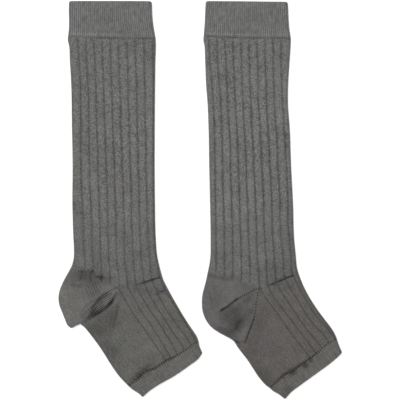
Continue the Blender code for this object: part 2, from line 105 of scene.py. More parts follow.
# What the yarn's colour is multiplied by on each piece. The instep's is where the foot starts.
TONES = {
    "left": {
        "cuff": (1.04, 1.04, 1.03), "leg": (0.9, 0.9, 0.885), "heel": (0.79, 0.775, 0.755),
        "instep": (0.88, 0.87, 0.86), "foot": (0.76, 0.745, 0.705), "toe_band": (0.93, 0.92, 0.885),
    },
    "right": {
        "cuff": (1.06, 1.06, 1.04), "leg": (0.96, 0.965, 0.95), "heel": (0.66, 0.645, 0.635),
        "instep": (0.86, 0.84, 0.82), "foot": (0.725, 0.68, 0.642), "toe_band": (0.935, 0.915, 0.87),
    },
}

TubePlan = namedtuple("TubePlan", "start end length rows cut hollow")
"""The lines that a tube runs from and to, its length, how many rows of points run along it,
whether it is cut there (1, then its end is rounded and its rows lie closer) or goes on into
the next knit (0), and the height of its hollow at its start, middle and end."""

TUBES = {
    "cuff": TubePlan("rim", "cuff_seam", 38, 44, (1, 1), (1.35, 1.3, 1.25)),
    "leg": TubePlan("cuff_seam", "leg_end", 252, 230, (1, 0), (1.2, 1.1, 1.25)),
    "foot": TubePlan("foot_start", "toe_seam", 80, 124, (0, 1), (1.25, 1.45, 1.15)),
    "toe_band": TubePlan("toe_seam", "toe_rim", 15.5, 22, (1, 1), (1.1, 1.25, 1.3)),
}

Linking = namedtuple("Linking", "name along pitch size")
"""A row of linking stitches: its name, the tube whose start it follows, how far apart the
stitches are, and how long, wide and high each is."""

LINKINGS = {
    "cuff": Linking("cuff_linking", "leg", 1.45, (1.3, 0.5, 0.4)),
    "toe_band": Linking("toe_linking", "toe_band", 1.35, (1.15, 0.5, 0.4)),
}
LINKING_SLANT = 0.5  # how far across the seam a linking stitch runs for each step along it
LINKING_LIFT = -0.2  # how far it stands above the knit's outermost points

Cut = namedtuple("Cut", "around long area")
"""What shows of a piece's knit, opened out flat, in metres: a tube all round, at rest, and its
mean length. A heel runs from gore to gore over its back edge, and is as long as that edge."""

Fold = namedtuple("Fold", "path left right depths shade stitch", defaults=(0,))
# A fold pressed into the upper side: its line in the plan, how wide it is on the left and right of that
# line, its depth along the line (a ridge is below 0), how dark its painted shade gets (below 0, a painted
# highlight), and how far apart the stitches are that break it up (0 for none).
"""A fold pressed into the upper side: its line in the plan, how wide it is on the left and
right of that line, its depth along the line (a ridge is below 0), how dark it gets, and how
far apart the stitches are that break it up (0 for none)."""

STITCHED = (0.35, 0.75)  # a stitched fold's mean depth and painted shade, and how far its stitches vary them, as shares; between the holes the shade turns to painted highlight

Patch = namedtuple("Patch", "right down wide high turn shade openness plum", defaults=(0,))
# A soft-edged place where painted shade darkens the knit (painted light where the shade is below 0) or its
# stitches stand further open: the middle, half width, half height, the turn in degrees clockwise, how dark
# the painted shade is and how open (0 to 1), and how far its grey leans to plum (1) or olive (-1).
"""A soft-edged place where the knit lies darker or its stitches stand further open: the middle,
half width, half height, the turn in degrees clockwise, how dark and how open (0 to 1), and how
far its grey leans to plum (1) or olive (-1)."""

PATCH_EDGE = 1.7  # how firm a patch's edge is


def rows_of_stitches(name, count, first, last, width, depths, shade, stitch=0):
    """Thin folds side by side, spread evenly from the first line to the last."""
    first, last = np.array(first), np.array(last)
    return {
        f"{name} {k + 1}": (first + (last - first) * k / (count - 1), width, width, depths, shade, stitch)
        for k in range(count)
    }


# The shade in each row is painted shade in the fold; below 0 it is a painted highlight.
LEFT_FOLDS = {  # rows for Fold
    "second furrow at the back edge": ([(72.4, 70), (73, 105), (73.2, 145)], 0.6, 0.6, (0, 0.4, 0), 0.25),
    "band below the ribs": ([(75, 274), (88, 276.5), (102, 280)], 4.2, 4.6, (0.3, 0.6, 0.5), 0.1),
    "upper line of the band": ([(79, 271.4), (84, 271.6), (93.5, 270.6)], 0.8, 0.9, (0.4, 0.2, 0.5), 0.34),
    "last rib drawn in": ([(95.5, 277.2), (99.5, 276.9), (104, 277.4)], 0.9, 1.1, (0.3, 0.9, 0.5), 0.55),
    "pucker below it": ([(102.4, 276), (101, 279.6), (101.4, 284)], 0.8, 0.8, (0.5, 0.9, 0.2), 0.5),
    "pucker at the fourth rib": (
        [(92.5, 270), (90.6, 275), (91.2, 280.6)], 0.8, 0.9, (0.7, 0.5, 0.7), 0.36,
    ),
    "pucker at the third rib": ([(82.5, 270.5), (82, 275), (80.3, 280)], 0.8, 0.9, (0.4, 0.2, 0.6), 0.34),
    "hollow below the band": ([(73, 285), (82, 286), (89, 285.4)], 1.9, 2.0, (0.2, 0.4, 0.1), 0.2),
    **rows_of_stitches(
        "fan of stitches", 6, [(86, 288), (89.5, 296), (92, 303)], [(97.8, 281), (99.8, 286), (101, 290)],
        0.55, (0.2, 0.25, 0.1), 0.5,
    ),
    "gore": (
        [(116.4, 287.8), (112.2, 289.5), (108.6, 291.4), (104.6, 293.3), (99.9, 296.4), (95.6, 299.4),
         (90.6, 302.3), (85.3, 306.7), (80, 311)], 1.1, 0.9, (0.5, 0.6, 0.6, 0.6, 0.5, 0.5, 0.5, 0.3, 0.1),
        1.1, 2.45,
    ),
    "upper edge of the tuck": (
        [(110, 291.6), (106.2, 294), (101.5, 297.6), (98.3, 300.2), (95.4, 303.3), (92.5, 306.6),
         (90, 310)], 0.8, 1.3, (0.3, 1.1, 1.4, 2.0, 1.6, 1.4, 0.3), 0.95,
    ),
    "floor of the tuck": ([(112, 297), (91, 312)], 3.8, 3.8, (0.7, 0.6), 0.0),
    **rows_of_stitches(
        "course in the tuck", 5, [(112, 292.6), (106, 296.1), (100, 300.6), (94, 306)], [(110.4, 301.8),
         (105, 305.4), (97, 311), (87, 317.8)], 0.55, (0.25, 0.4, 0.4, 0.2), 1.3,
    ),
    **rows_of_stitches(
        "stitches across the tuck", 6, [(100.6, 300.6), (105, 307.4)], [(89.2, 309), (93.4, 315.4)], 0.5,
        (0.1, 0.15), 0.5,
    ),
    "dark end of the tuck": ([(113, 298.6), (110.6, 303.4), (107, 306.6)], 1.3, 1.5, (0.1, 0.3, 0.1), 0.6),
    "lower edge of the tuck": (
        [(117, 290.5), (114.2, 297), (111.6, 302.2), (107.6, 306.6), (103.6, 309.6), (96, 314.6),
         (89.6, 318.4), (80.5, 323.8)], 1.3, 1.8, (0.2, 1.7, 2.0, 1.7, 2.3, 1.5, 0.8, 0.1), 0.85,
    ),
    "foot's edge on the tuck": (
        [(119, 301), (112.5, 309), (103, 314), (92, 320)], 3.0, 2.0, (-0.3, -0.8, -0.8, -0.2), 0,
    ),
    "ankle crease": (
        [(137, 284.4), (144.8, 282.2), (152, 279.9), (159.4, 277.4)], 0.8, 0.9, (0.3, 1.0, 1.3, 1.1), 0.95,
    ),
    "puff below the ankle crease": ([(144, 286), (160, 283)], 2.0, 2.4, (-0.25, -0.25), 0),
    "ankle dimple": ([(160.5, 291.8), (163.8, 291.2)], 1.4, 1.4, (0.8, 0.8), 0.5),
    "pucker before the dimple": ([(155.6, 294.6), (158.2, 293.8)], 0.8, 0.8, (0.6, 0.5), 0.4),
    "pucker above the dimple": ([(156.4, 288.4), (157.8, 291)], 0.7, 0.7, (0.4, 0.5), 0.35),
    "soft crease below the ankle": (
        [(133, 290.8), (146, 290), (158, 293)], 1.6, 2.0, (0.25, 0.4, 0.3), 0.12,
    ),
    "small pucker on the instep": ([(160, 299), (166, 302)], 1.4, 1.8, (0.3, 0.3), 0.15),
    "hollow in the sole": (
        [(117.5, 304), (116.3, 313), (114, 325), (112.5, 336)], 1.9, 1.7, (0.6, 0.8, 0.4, 0.1), 0.3,
    ),
    "pucker beside the hollow": ([(112.4, 308), (111.6, 316), (110, 326)], 1.2, 1.2, (0.2, 0.4, 0.1), 0.2),
    "pucker by the heel": ([(116, 305.5), (119.5, 307.2)], 0.8, 0.8, (0.3, 0.5), 0.3),
    "hollow nearer the toe": ([(123, 337), (117.5, 350), (110, 363)], 3.4, 3.0, (0.3, 0.5, 0.3), 0.16),
    "pull at the toe seam": (
        [(131, 380), (138, 374.5), (147, 367), (156, 364)], 2.4, 3.4, (0.3, 0.6, 0.6, 0.1), 0.34,
    ),
    "scalloped foot at the seam": (
        [(129, 384), (136, 378.4), (142, 373), (147.5, 369)], 1.1, 1.1, (0.2, 0.3, 0.3, 0.2), 0.35, 3.9,
    ),
    # Painted highlight along the ridge above the cuff seam.
    "ridge above the cuff seam": (
        [(68.5, 33.6), (92, 34.4), (132, 34.9)], 0.6, 0.6, (-0.25, -0.3, -0.1), -0.42,
    ),
}

# The shade in each row is painted shade; below 0 it is painted light.
LEFT_PATCHES = [  # rows for Patch
    (89, 276, 14.5, 6.6, 6, 0.34, 0.1, 1.0), (79, 285.5, 10, 2.6, 0, 0.1, 0, 1.6),
    (91, 283.5, 5, 3.4, 0, 0.16, 0.3, -0.6), (94, 291, 11, 8, 25, 0.02, 0.5),
    (102, 303.5, 13, 4.6, -38, -0.56, 0.6, -0.3), (87, 313, 9, 4, -34, 0.04, 0.8),
    (94, 309, 4, 4, -40, 0.22, 0.5), (68, 302, 11, 12, 0, -0.03, 0.35, -0.4),
    (104, 322, 17, 13, -25, 0.2, 0, 0.3), (93, 332, 8, 8, 40, 0.2, 0, -1.4),
    (111, 318, 4, 14, 10, 0.06, 0, -1.6), (122, 341, 9, 20, -20, -0.02, 0, -0.8),
    (107, 350, 8, 16, -35, 0.08, 0, 0.6), (163, 288, 5, 9, 20, 0.1, 0, 0.8),
    (144, 372, 14, 6, -32, 0.14, 0), (77, 277, 10, 10, 0, 0.14, 0), (80, 294, 8, 7, 0, 0.12, 0),
    (71, 323, 10, 5, 25, 0.08, 0), (70, 281, 9, 9, 0, 0.14, 0), (107, 280, 8, 7, 20, 0.15, 0),
    (139, 289, 22, 11, -12, 0.17, 0), (108, 342, 6, 18, -30, 0.12, 0), (158, 344, 20, 9, -25, -0.11, 0),
    (166, 362, 8, 5, -30, 0.12, 0), (150, 170, 6, 50, 0, -0.09, 0), (112, 28, 18, 14, 0, 0.06, 0),
    (73, 8, 8, 8, 0, -0.1, 0),
]

LEFT = {
    # How deep the seams are drawn in along their lines, and how deep the toe band's linking holes are.
    "cuff_draw": (0, 0.1, 0.05, 0.25, 0.5, 0.55, 0.5, 0.2, 0.25, 0.5, 0.6, 0.3),
    "toe_draw": (0.9, 0.4, 1.0, 0.5, 1.1, 0.5, 0.9, 0.9, 0.3, 0, 0, 0),
    "toe_holes": (0.4, 0.5, 0.4, 0.5, 0.6, 0.6, 0.6, 0.5),
    # Lines across the sock, from the back edge to the front edge.
    "rim": [(68.8, 1.2), (110, 1.1), (151.8, 1.3)],
    "cuff_seam": [(67.8, 36.4), (90, 37.6), (120, 38.2), (155.6, 38.4)],
    "heel_top": [
        (69.2, 270.5), (78, 270.5), (86, 272.5), (94, 276.5), (101.5, 281), (109, 285), (117.6, 288.9),
    ],
    "instep": [(119, 289.2), (123, 288.6), (131.5, 287.5), (140.5, 285), (150.5, 282), (163, 279.3)],
    "sole_edge": [
        (80.3, 324), (89.4, 317.6), (96, 314), (102.7, 310.5), (108, 306.5), (112.3, 301.8), (115.6, 296),
        (118, 291),
    ],
    "toe_seam": [
        (128.3, 386.3), (136, 380.5), (141.8, 375.2), (147.9, 370.9), (155, 368.3), (161.2, 364.4),
        (166, 361), (175.2, 356.4), (186.7, 349.1), (192.7, 344.6), (198.5, 341.3),
    ],
    "toe_rim": [
        (142.4, 397.3), (147, 392.8), (156.4, 386.1), (174.5, 375.8), (189.7, 365.2), (198.2, 358.8),
        (202.3, 353),
    ],
    # Edges from the cuff's rim to the toe band's, through the ends of the lines across.
    "back": [
        (68.8, 1.2), (68.6, 9), (68.8, 21), (68.7, 28), (67.8, 36.4), (67.6, 39.5), (68.8, 45), (69.6, 60),
        (71, 84), (71.7, 126), (72.4, 166), (72.2, 206), (73.1, 236), (73.7, 248), (73.4, 259), (71.5, 266),
        (69.2, 270.5), (65.5, 277), (62, 284), (59.3, 291), (58.3, 299), (59.3, 305.5), (61.8, 312),
        (64.6, 319), (67.6, 325.5), (71.2, 328.1), (75.7, 325.9), (80.3, 324), (84.8, 328), (91.3, 336),
        (97.3, 344), (102.8, 352), (107.8, 360), (112.9, 368), (119, 376.4), (128.3, 386.3), (133, 390.2),
        (138.8, 393.9), (142.4, 397.3),
    ],
    "front": [
        (151.8, 1.3), (152.1, 9), (152.8, 21), (153.8, 28), (155.6, 38.4), (155.8, 42), (155.4, 60),
        (155, 86), (154.7, 126), (154.6, 166), (154.9, 206), (155.6, 236), (157.2, 256), (159.8, 268),
        (163, 279.3), (165.3, 284), (169.5, 292), (173.9, 300), (178.5, 308), (183.2, 316), (188.3, 324),
        (193.8, 332), (197.3, 337.8), (198.5, 341.3), (199.6, 346.5), (202.3, 353),
    ],
    # Furrows between the leg's ribs: how far down, the first, the last, and the others' bow.
    "groove_rows": [
        (38, 77.6, 152.4, -0.6), (55, 78.7, 152.8, -1.0), (95, 80.9, 153.7, -1.2), (135, 80.9, 153.7, 0.0),
        (188, 81.3, 154.1, 1.6), (217, 82.7, 154.4, 1.4), (261, 84.0, 156.8, 0.6), (275, 85.2, 158.9, 0.6),
    ],
    # Furrows down the foot: the share of its length, then the shares across of each furrow.
    "foot_groove_rows": [
        (0, 0.535, 0.626, 0.714, 0.801, 0.887, 0.972),
        (0.15, 0.519, 0.622, 0.708, 0.790, 0.874, 0.965),
        (0.35, 0.518, 0.613, 0.706, 0.792, 0.870, 0.975),
        (0.55, 0.538, 0.632, 0.722, 0.799, 0.877, 0.983),
        (0.75, 0.549, 0.630, 0.722, 0.801, 0.889, 0.975),
        (1, 0.546, 0.610, 0.698, 0.802, 0.897, 0.962),
    ],
    "folds": LEFT_FOLDS,
    "patches": LEFT_PATCHES,
}

# The shade in each row is painted shade in the fold; below 0 it is a painted highlight.
RIGHT_FOLDS = {  # rows for Fold
    "band below the ribs": ([(209, 275.5), (222, 277.6), (239, 279.5)], 1.8, 2.8, (0.4, 0.5, 0.3), 0.16),
    "pucker at the third rib": ([(231.4, 275), (231.7, 280)], 0.8, 0.8, (0.6, 0.3), 0.35),
    "pucker at the second rib": ([(222.8, 276), (223.2, 280)], 0.8, 0.8, (0.4, 0.2), 0.2),
    "last rib drawn in": ([(240.5, 279), (240.6, 284)], 0.9, 0.9, (0.4, 0.2), 0.25),
    "gore": (
        [(261, 288.2), (256.8, 288.3), (252.5, 290.8), (248.3, 292.9), (244.4, 294.7), (240.6, 296.6),
         (236.8, 298.4), (233.4, 300.6)], 0.9, 1.0, (0.4, 0.5, 0.5, 0.5, 0.5, 0.5, 0.5, 0.4), 1.1, 2.4,
    ),
    "fold under the gore": (
        [(241.5, 296.4), (236.8, 298.9), (233.5, 300.9), (229.5, 304.2), (226, 306.9), (222.5, 308.8),
         (220.5, 310.3), (219.1, 312.4)], 1.6, 0.6, (0.1, 1.2, 1.8, 1.5, 1.6, 1.7, 2.0, 0.5), 0.95,
    ),
    # Painted highlight on the lip above the fold.
    "lip above that fold": (
        [(236, 296.8), (229, 302.2), (222, 306.6), (217.6, 310.6)], 1.2, 1.2, (-0.3, -0.5, -0.5, -0.3),
        -0.07,
    ),
    "sunken under the gore": ([(252, 295), (241, 304), (228, 313)], 4.0, 2.0, (0.6, 0.7, 0.4), 0.1),
    "hollow of the heel": (
        [(248, 312), (242, 321), (234, 330), (227, 333)], 3.2, 3.4, (0.5, 1.2, 1.0, 0.2), 0.22,
    ),
    "dark side of the hollow": (
        [(243, 317), (238, 323), (235.5, 328.5), (231, 331)], 1.9, 2.6, (0.2, 0.5, 0.5, 0.1), 0.26,
    ),
    # Painted highlight on the raised strip by the foot's edge.
    "light strip by the foot's edge": (
        [(246, 326), (243.6, 334), (241, 341)], 1.6, 1.6, (-0.1, -0.3, -0.1), -0.14,
    ),
    "second hollow of the heel": ([(240, 314), (230, 325)], 1.8, 2.2, (0.2, 0.5), 0.14),
    **rows_of_stitches(
        "course in the hollow", 6, [(221.6, 313.4), (229, 308.6), (238, 302.6)], [(231, 325.8),
         (237.6, 321.4), (246, 315.6)], 0.6, (0.2, 0.35, 0.1), 0.6, 2.3,
    ),
    "stitches beside the foot's edge": (
        [(254.6, 301), (253, 309), (252, 314)], 0.6, 0.6, (0.2, 0.4, 0.2), 0.25, 3.4,
    ),
    "stitches down the foot's edge": (
        [(258.6, 289.6), (257.6, 296), (256, 303), (255.3, 311), (253.6, 320)], 0.8, 0.8,
        (0.6, 0.7, 0.8, 0.8, 0.8), 0.65, 3.2,
    ),
    "foot's edge": (
        [(255, 313), (253.2, 320.4), (250.8, 327), (248.2, 334), (245, 342.6)], 0.6, 0.7,
        (0.1, 0.8, 1.3, 1.2, 1.0), 0.8,
    ),
    "end of the heel's edge": ([(234.6, 340.6), (239.6, 342.4)], 0.9, 0.9, (0.8, 0.5), 0.75),
    "foot lying on the heel": ([(261, 297), (259, 314), (254, 333)], 3.0, 2.6, (-0.2, -0.7, -0.5), 0),
    "ankle crease": (
        [(268.5, 285.2), (272, 284), (276.4, 282.3), (279.4, 280.8), (283, 279.2), (287.5, 277.2),
         (292.8, 275.4)], 0.8, 1.0, (0.5, 0.9, 0.5, 1.1, 0.9, 1.1, 1.0), 0.8,
    ),
    "puff below the ankle crease": ([(274, 287), (293, 280)], 2.0, 2.4, (-0.2, -0.25), 0),
    "soft crease below the ankle": ([(270, 293), (284, 289), (300, 283)], 1.8, 2.0, (0.2, 0.25, 0.2), 0.08),
    "hollow in the sole": ([(263, 312), (257, 345)], 4.5, 4.5, (0.3, 0.3), 0.08),
    "furrow lost on the instep": ([(282, 332), (296, 352)], 1.2, 1.2, (0.1, 0.2), 0.1),
    "pull at the toe seam": ([(280, 376.5), (288, 371), (300, 363)], 1.4, 2.4, (0.3, 0.5, 0.2), 0.3),
    # Painted highlight along the ridge above the cuff seam.
    "ridge above the cuff seam": (
        [(205, 33.4), (228, 34.4), (286, 34.9)], 0.6, 0.6, (-0.2, -0.25, -0.15, -0.2), -0.36,
    ),
}

# The shade in each row is painted shade; below 0 it is painted light.
RIGHT_PATCHES = [  # rows for Patch
    (222, 276, 16, 4.4, 8, 0.1, 0.1, 0.8), (245, 299.5, 7, 4.4, -25, 0.2, 0.1),
    (231, 314, 15, 8, -25, 0.07, 1.0), (237, 325, 8, 9, 35, 0.18, 0.9, -0.8),
    (219, 324, 6, 5, 25, -0.04, 0.1, 1.4), (226, 332, 12, 5, 30, 0.32, 0.5, -0.8),
    (214, 300, 7, 18, 0, -0.02, 0.5, 0.4), (250, 308, 5, 16, 8, 0.12, 0.1), (290, 373, 14, 6, -36, 0.12, 0),
    (284, 292, 24, 8, -20, 0.03, 0), (268, 345, 9, 22, -25, 0, 0, 1.4), (285, 355, 10, 14, -30, 0, 0, -0.5),
    (282, 272, 22, 14, -15, 0.21, 0), (274, 287, 20, 10, -10, 0.1, 0), (290, 238, 9, 32, 0, 0.13, 0),
    (235, 240, 22, 26, 0, 0.06, 0), (249, 286, 10, 12, 0, 0.12, 0), (252, 338, 6, 24, 0, 0.12, 0),
    (265, 377, 8, 18, -35, 0.23, 0), (289, 391, 9, 6, -30, 0.28, 0), (308, 364, 8, 5, -30, 0.12, 0),
    # Painted shadow below the toe seam.
    (293.4, 373.1, 3.8, 2.1, -30, 0.5, 0), (305.3, 365.4, 3.2, 2.6, -36, 0.5, 0),
    (311.2, 360.8, 2.6, 2.4, -40, 0.36, 0), (318, 356.8, 3.4, 2.4, -36, 0.2, 0),
    (246, 26, 22, 16, 0, 0.06, 0),
]

RIGHT = {
    "cuff_draw": (0.3, 0.4, 0.2, 0.45, 0.5, 0.2, 0.35, 0.5, 0.2, 0.4, 0.5, 0.3),
    "toe_draw": (0.4, 0.6, 0.8, 0.9, 0.9, 0.8, 0.5, 0, 0, 0),
    "toe_holes": (0.3, 0.4, 0.4, 0.5, 0.6, 0.6, 0.6, 0.5),
    "rim": [(205.7, 1.2), (247, 1.5), (287.9, 2)],
    "cuff_seam": [(203.7, 36), (225, 37.4), (255, 38), (291, 38.3)],
    "heel_top": [
        (208, 271), (215.6, 274.6), (223.5, 277.6), (231.4, 279.6), (241.7, 282), (250.6, 285.6),
        (257.8, 288.6),
    ],
    "instep": [(259.5, 288.4), (265, 286.8), (271.5, 284), (279, 281), (289, 276.8), (298.5, 273)],
    "sole_edge": [
        (234.2, 341.6), (239.5, 341), (244.8, 337.8), (248.8, 332), (251.8, 325.5), (253.8, 319),
        (255.3, 311), (256.2, 303), (257, 296), (258.2, 290.6),
    ],
    "toe_seam": [
        (270, 388.4), (276, 382.6), (281.8, 377), (286.5, 374), (292.5, 371), (300.7, 364.9),
        (308.4, 359.6), (318.6, 351.8), (328, 343.6), (337, 338.6),
    ],
    "toe_rim": [
        (284.9, 399.3), (290.3, 392.8), (300.7, 384.8), (316, 373.8), (331.3, 362.4), (337, 357.6),
        (342.3, 352.4),
    ],
    "back": [
        (205.7, 1.2), (205.3, 9), (204.8, 21), (204.3, 28), (203.7, 36), (203.4, 39.5), (204.4, 45),
        (205.1, 60), (206.2, 86), (207.6, 104), (208.6, 130), (209.3, 170), (210.1, 206), (210.6, 240),
        (210.4, 256), (209.3, 265), (208, 271), (206.2, 280), (204.1, 288), (202.3, 295.5), (201.9, 303),
        (202.8, 312), (205.9, 320), (210.6, 326.5), (217.9, 332), (225.3, 336.1), (230.5, 338.9),
        (234.2, 341.6), (238.2, 348), (241.3, 352.2), (247.4, 360), (252.7, 368), (257.9, 376),
        (262.2, 381.4), (266, 385.4), (270, 388.4), (273, 391.2), (278.8, 394.5), (284.9, 399.3),
    ],
    "front": [
        (287.9, 2), (288.4, 9), (288.9, 21), (289.5, 28), (291, 38.3), (290.9, 43), (289.7, 62),
        (288.3, 86), (288.1, 102), (289.9, 128), (291.3, 166), (293.3, 206), (294.3, 238), (296, 256),
        (297.1, 267), (298.5, 273), (301.1, 280), (304.6, 288), (308.8, 296), (313.7, 304), (319.2, 312),
        (325.2, 320), (331.3, 328), (335.4, 334.8), (337, 338.6), (339.3, 345.6), (342.3, 352.4),
    ],
    "groove_rows": [
        (38, 208.6, 280.6, 0.2), (63, 209.8, 281.2, 0.0), (100, 213.0, 282.2, -0.9),
        (151, 214.9, 285.3, -0.6), (205, 215.4, 287.9, 0.0), (236, 215.8, 287.9, 0.7),
        (274, 216.2, 291.8, 0.3),
    ],
    "foot_groove_rows": [
        (0, 0.569, 0.657, 0.752, 0.848, 0.936),
        (0.15, 0.583, 0.660, 0.763, 0.860, 0.946),
        (0.35, 0.600, 0.680, 0.770, 0.874, 0.952),
        (0.55, 0.599, 0.688, 0.769, 0.862, 0.943),
        (0.75, 0.602, 0.688, 0.768, 0.868, 0.952),
        (1, 0.600, 0.693, 0.784, 0.893, 0.975),
    ],
    "folds": RIGHT_FOLDS,
    "patches": RIGHT_PATCHES,
}


class Line:
    """A smooth line through plan points, read at shares of its length or at the shares given."""

    def __init__(self, points, shares=None):
        self.points = np.array(points, float)
        self.shares = run_of(self.points) if shares is None else np.array(shares, float)
        self.slopes = np.gradient(self.points, self.shares, axis=0)

    def __call__(self, share):
        share = np.asarray(share, float)
        i = np.clip(np.searchsorted(self.shares, share, side="right") - 1, 0, len(self.shares) - 2)
        span = (self.shares[i + 1] - self.shares[i])[..., None]
        u = (share - self.shares[i])[..., None] / span
        return (
            (2 * u**3 - 3 * u**2 + 1) * self.points[i]
            + (u**3 - 2 * u**2 + u) * span * self.slopes[i]
            + (3 * u**2 - 2 * u**3) * self.points[i + 1]
            + (u**3 - u**2) * span * self.slopes[i + 1]
        )


class Joined:
    """Two lines one after the other, meeting at a corner."""

    def __init__(self, first, second, meet):
        self.first, self.second, self.meet = first, second, meet

    def __call__(self, share):
        share = np.asarray(share, float)
        before = self.first(np.minimum(share, self.meet) / self.meet)
        after = self.second((np.maximum(share, self.meet) - self.meet) / (1 - self.meet))
        return np.where((share < self.meet)[..., None], before, after)


class Field:
    """Plan places inside four lines: start and end run back to front, back and front along."""

    def __init__(self, start, end, back, front):
        self.lines = start, end, back, front

    def __call__(self, across, along):
        start, end, back, front = self.lines
        v, w = across[..., None], along[..., None]
        corners = (
            (1 - v) * (1 - w) * start(0.0) + v * (1 - w) * start(1.0)
            + (1 - v) * w * end(0.0) + v * w * end(1.0)
        )
        return (
            (1 - w) * start(across) + w * end(across)
            + (1 - v) * back(along) + v * front(along) - corners
        )


def run_of(points):
    """The share of a line's length at each of its points."""
    steps = np.linalg.norm(np.diff(points, axis=0), axis=1)
    return np.concatenate([[0], np.cumsum(steps)]) / steps.sum()


def shares_by_right(points, start, end):
    """Shares for a line whose points are placed by how far right they lie between two ends."""
    return (np.array(points)[:, 0] - start) / (end - start)


def smooth(x):
    """0 up to 0 and 1 from 1, with a soft run between."""
    x = np.clip(x, 0, 1)
    return x * x * (3 - 2 * x)


def bell(x, width):
    """1 in the middle, falling away on both sides."""
    return np.exp(-((x / width) ** 2))


def rounded(inward, width):
    """0 at a fold's outermost line, 1 from `width` inward."""
    return np.sqrt(1 - np.clip(1 - inward / width, 0, 1) ** 2)


def wander(seed, waves=6):
    """A gentle uneven line between about -1 and 1, the same each run."""
    draw = np.random.RandomState(seed)
    turns = draw.uniform(1.5, 11, waves)
    phases = draw.uniform(0, 2 * np.pi, waves)
    sizes = draw.uniform(0.4, 1, waves) / np.sqrt(turns)
    sizes /= sizes.sum()

    def value(share):
        share = np.asarray(share, float)[..., None]
        return (sizes * np.sin(2 * np.pi * turns * share + phases)).sum(-1)

    return value


def metres(plan, height):
    """Places in the frame from plan steps and heights in millimetres."""
    flat = (plan - MIDDLE) * STEP * (1, -1)
    return np.concatenate([flat, np.asarray(height)[..., None]], axis=-1) / 1000


def measured(lines):
    """The length in mm of each row of plan points, as a column."""
    return STEP * np.linalg.norm(np.diff(lines, axis=1), axis=-1).sum(1)[:, None]


def pressed(folds, plan):
    """How deep the folds are at plan places, in millimetres, and how much painted shade they lay on the
    knit (below 0, painted highlight).
    """
    depth, shade = np.zeros((2, *plan.shape[:-1]))
    for fold in (Fold(*row) for row in folds.values()):
        path = np.array(fold.path, float)
        marks = np.linspace(0, 1, 4 * len(path) - 3)
        points = Line(path)(marks) if len(path) > 2 else np.linspace(*path, len(marks))
        reach = 3 * max(fold.left, fold.right) / STEP
        near = ((plan > points.min(0) - reach) & (plan < points.max(0) + reach)).all(-1)
        if not near.any():
            continue
        there = plan[near]
        best = np.full(len(there), 1e9)
        side, place = np.zeros((2, len(there)))
        for k, (start, end) in enumerate(zip(points, points[1:])):
            run = end - start
            share = np.clip((there - start) @ run / (run @ run), 0, 1)
            off = there - start - share[:, None] * run
            far = np.linalg.norm(off, axis=1)
            closer = far < best
            best[closer] = far[closer]
            side[closer] = (run[0] * off[:, 1] - run[1] * off[:, 0])[closer]
            place[closer] = (k + share[closer]) / (len(points) - 1)
        near_line = bell(best * STEP, np.where(side > 0, fold.right, fold.left))
        deep = np.interp(place, np.linspace(0, 1, len(fold.depths)), fold.depths)
        if fold.stitch:
            run = STEP * np.linalg.norm(np.diff(points, axis=0), axis=1).sum()
            mean, swing = STITCHED
            near_line = near_line * (mean + swing * np.cos(2 * np.pi * place * run / fold.stitch))
        depth[near] += deep * near_line
        shade[near] += fold.shade * near_line * np.abs(deep) / np.abs(fold.depths).max()
    return depth, shade


def seam_folds(table):
    """The cuff's and toe band's seams, drawn in unevenly with painted shade along them, and holes where the
    band is linked on, painted dark with painted highlight between.
    """
    return {
        "cuff seam": (table["cuff_seam"], 0.8, 0.8, table["cuff_draw"], 0.6),
        "toe seam": (table["toe_seam"], 1.1, 0.9, table["toe_draw"], 0.55),
        "toe linking": (table["toe_seam"], 1.1, 1.1, table["toe_holes"], 1.0, 2.7),
    }


def patched(patches, plan):
    """How much painted shade (painted light where below 0), how open and how plum the knit lies at plan
    places.
    """
    found = np.zeros((3, *plan.shape[:-1]))
    for patch in (Patch(*row) for row in patches):
        turn = np.radians(patch.turn)
        off = plan - (patch.right, patch.down)
        along = (off[..., 0] * np.cos(turn) + off[..., 1] * np.sin(turn)) / patch.wide
        down = (off[..., 1] * np.cos(turn) - off[..., 0] * np.sin(turn)) / patch.high
        inside = np.exp(-((along**2 + down**2) ** PATCH_EDGE))
        found[0] += patch.shade * inside
        found[1] = np.maximum(found[1], patch.openness * inside)
        found[2] += patch.plum * inside
    return found


def dented(table, plan, reach):
    """What folds, patches and the sock's edge do at plan places this far from that edge: how
    deep they press, how much painted shade they lay on the knit, and how open and how plum it lies."""
    depth, shade = pressed(table["folds"], plan)
    patch, openness, plum = patched(table["patches"], plan)
    dark, width = EDGE_SHADE
    return depth, shade + patch + dark * bell(reach, width), openness, plum


def fold_under(depth):
    """How far the underside rises under a fold of this depth."""
    return UNDER_FOLD * np.clip(depth, 0, DEEPEST_UNDER)


def uneven_lie(plan):
    """How far the knit lies off its even height at plan places."""
    return UNEVEN_LIE * wander(5)(plan[..., 0] / 90) * wander(6)(plan[..., 1] / 120)


def heights(reach, full, ground, ceiling=None):
    """Heights of the upper side and the underside, rounded at the sock's edge. With a ceiling,
    those of the inside, as far as the upper layer leaves it room."""
    top = EDGE_HEIGHT + (full - EDGE_HEIGHT) * rounded(reach, EDGE_TOP)
    if ceiling is None:
        return top, EDGE_HEIGHT + (ground - EDGE_HEIGHT) * rounded(reach, EDGE_UNDER)
    ceiling = np.minimum(ceiling, top - LEAST_LAYER)
    return heights(reach - WALL, ceiling, np.minimum(WALL, ceiling - LEAST_HOLLOW))


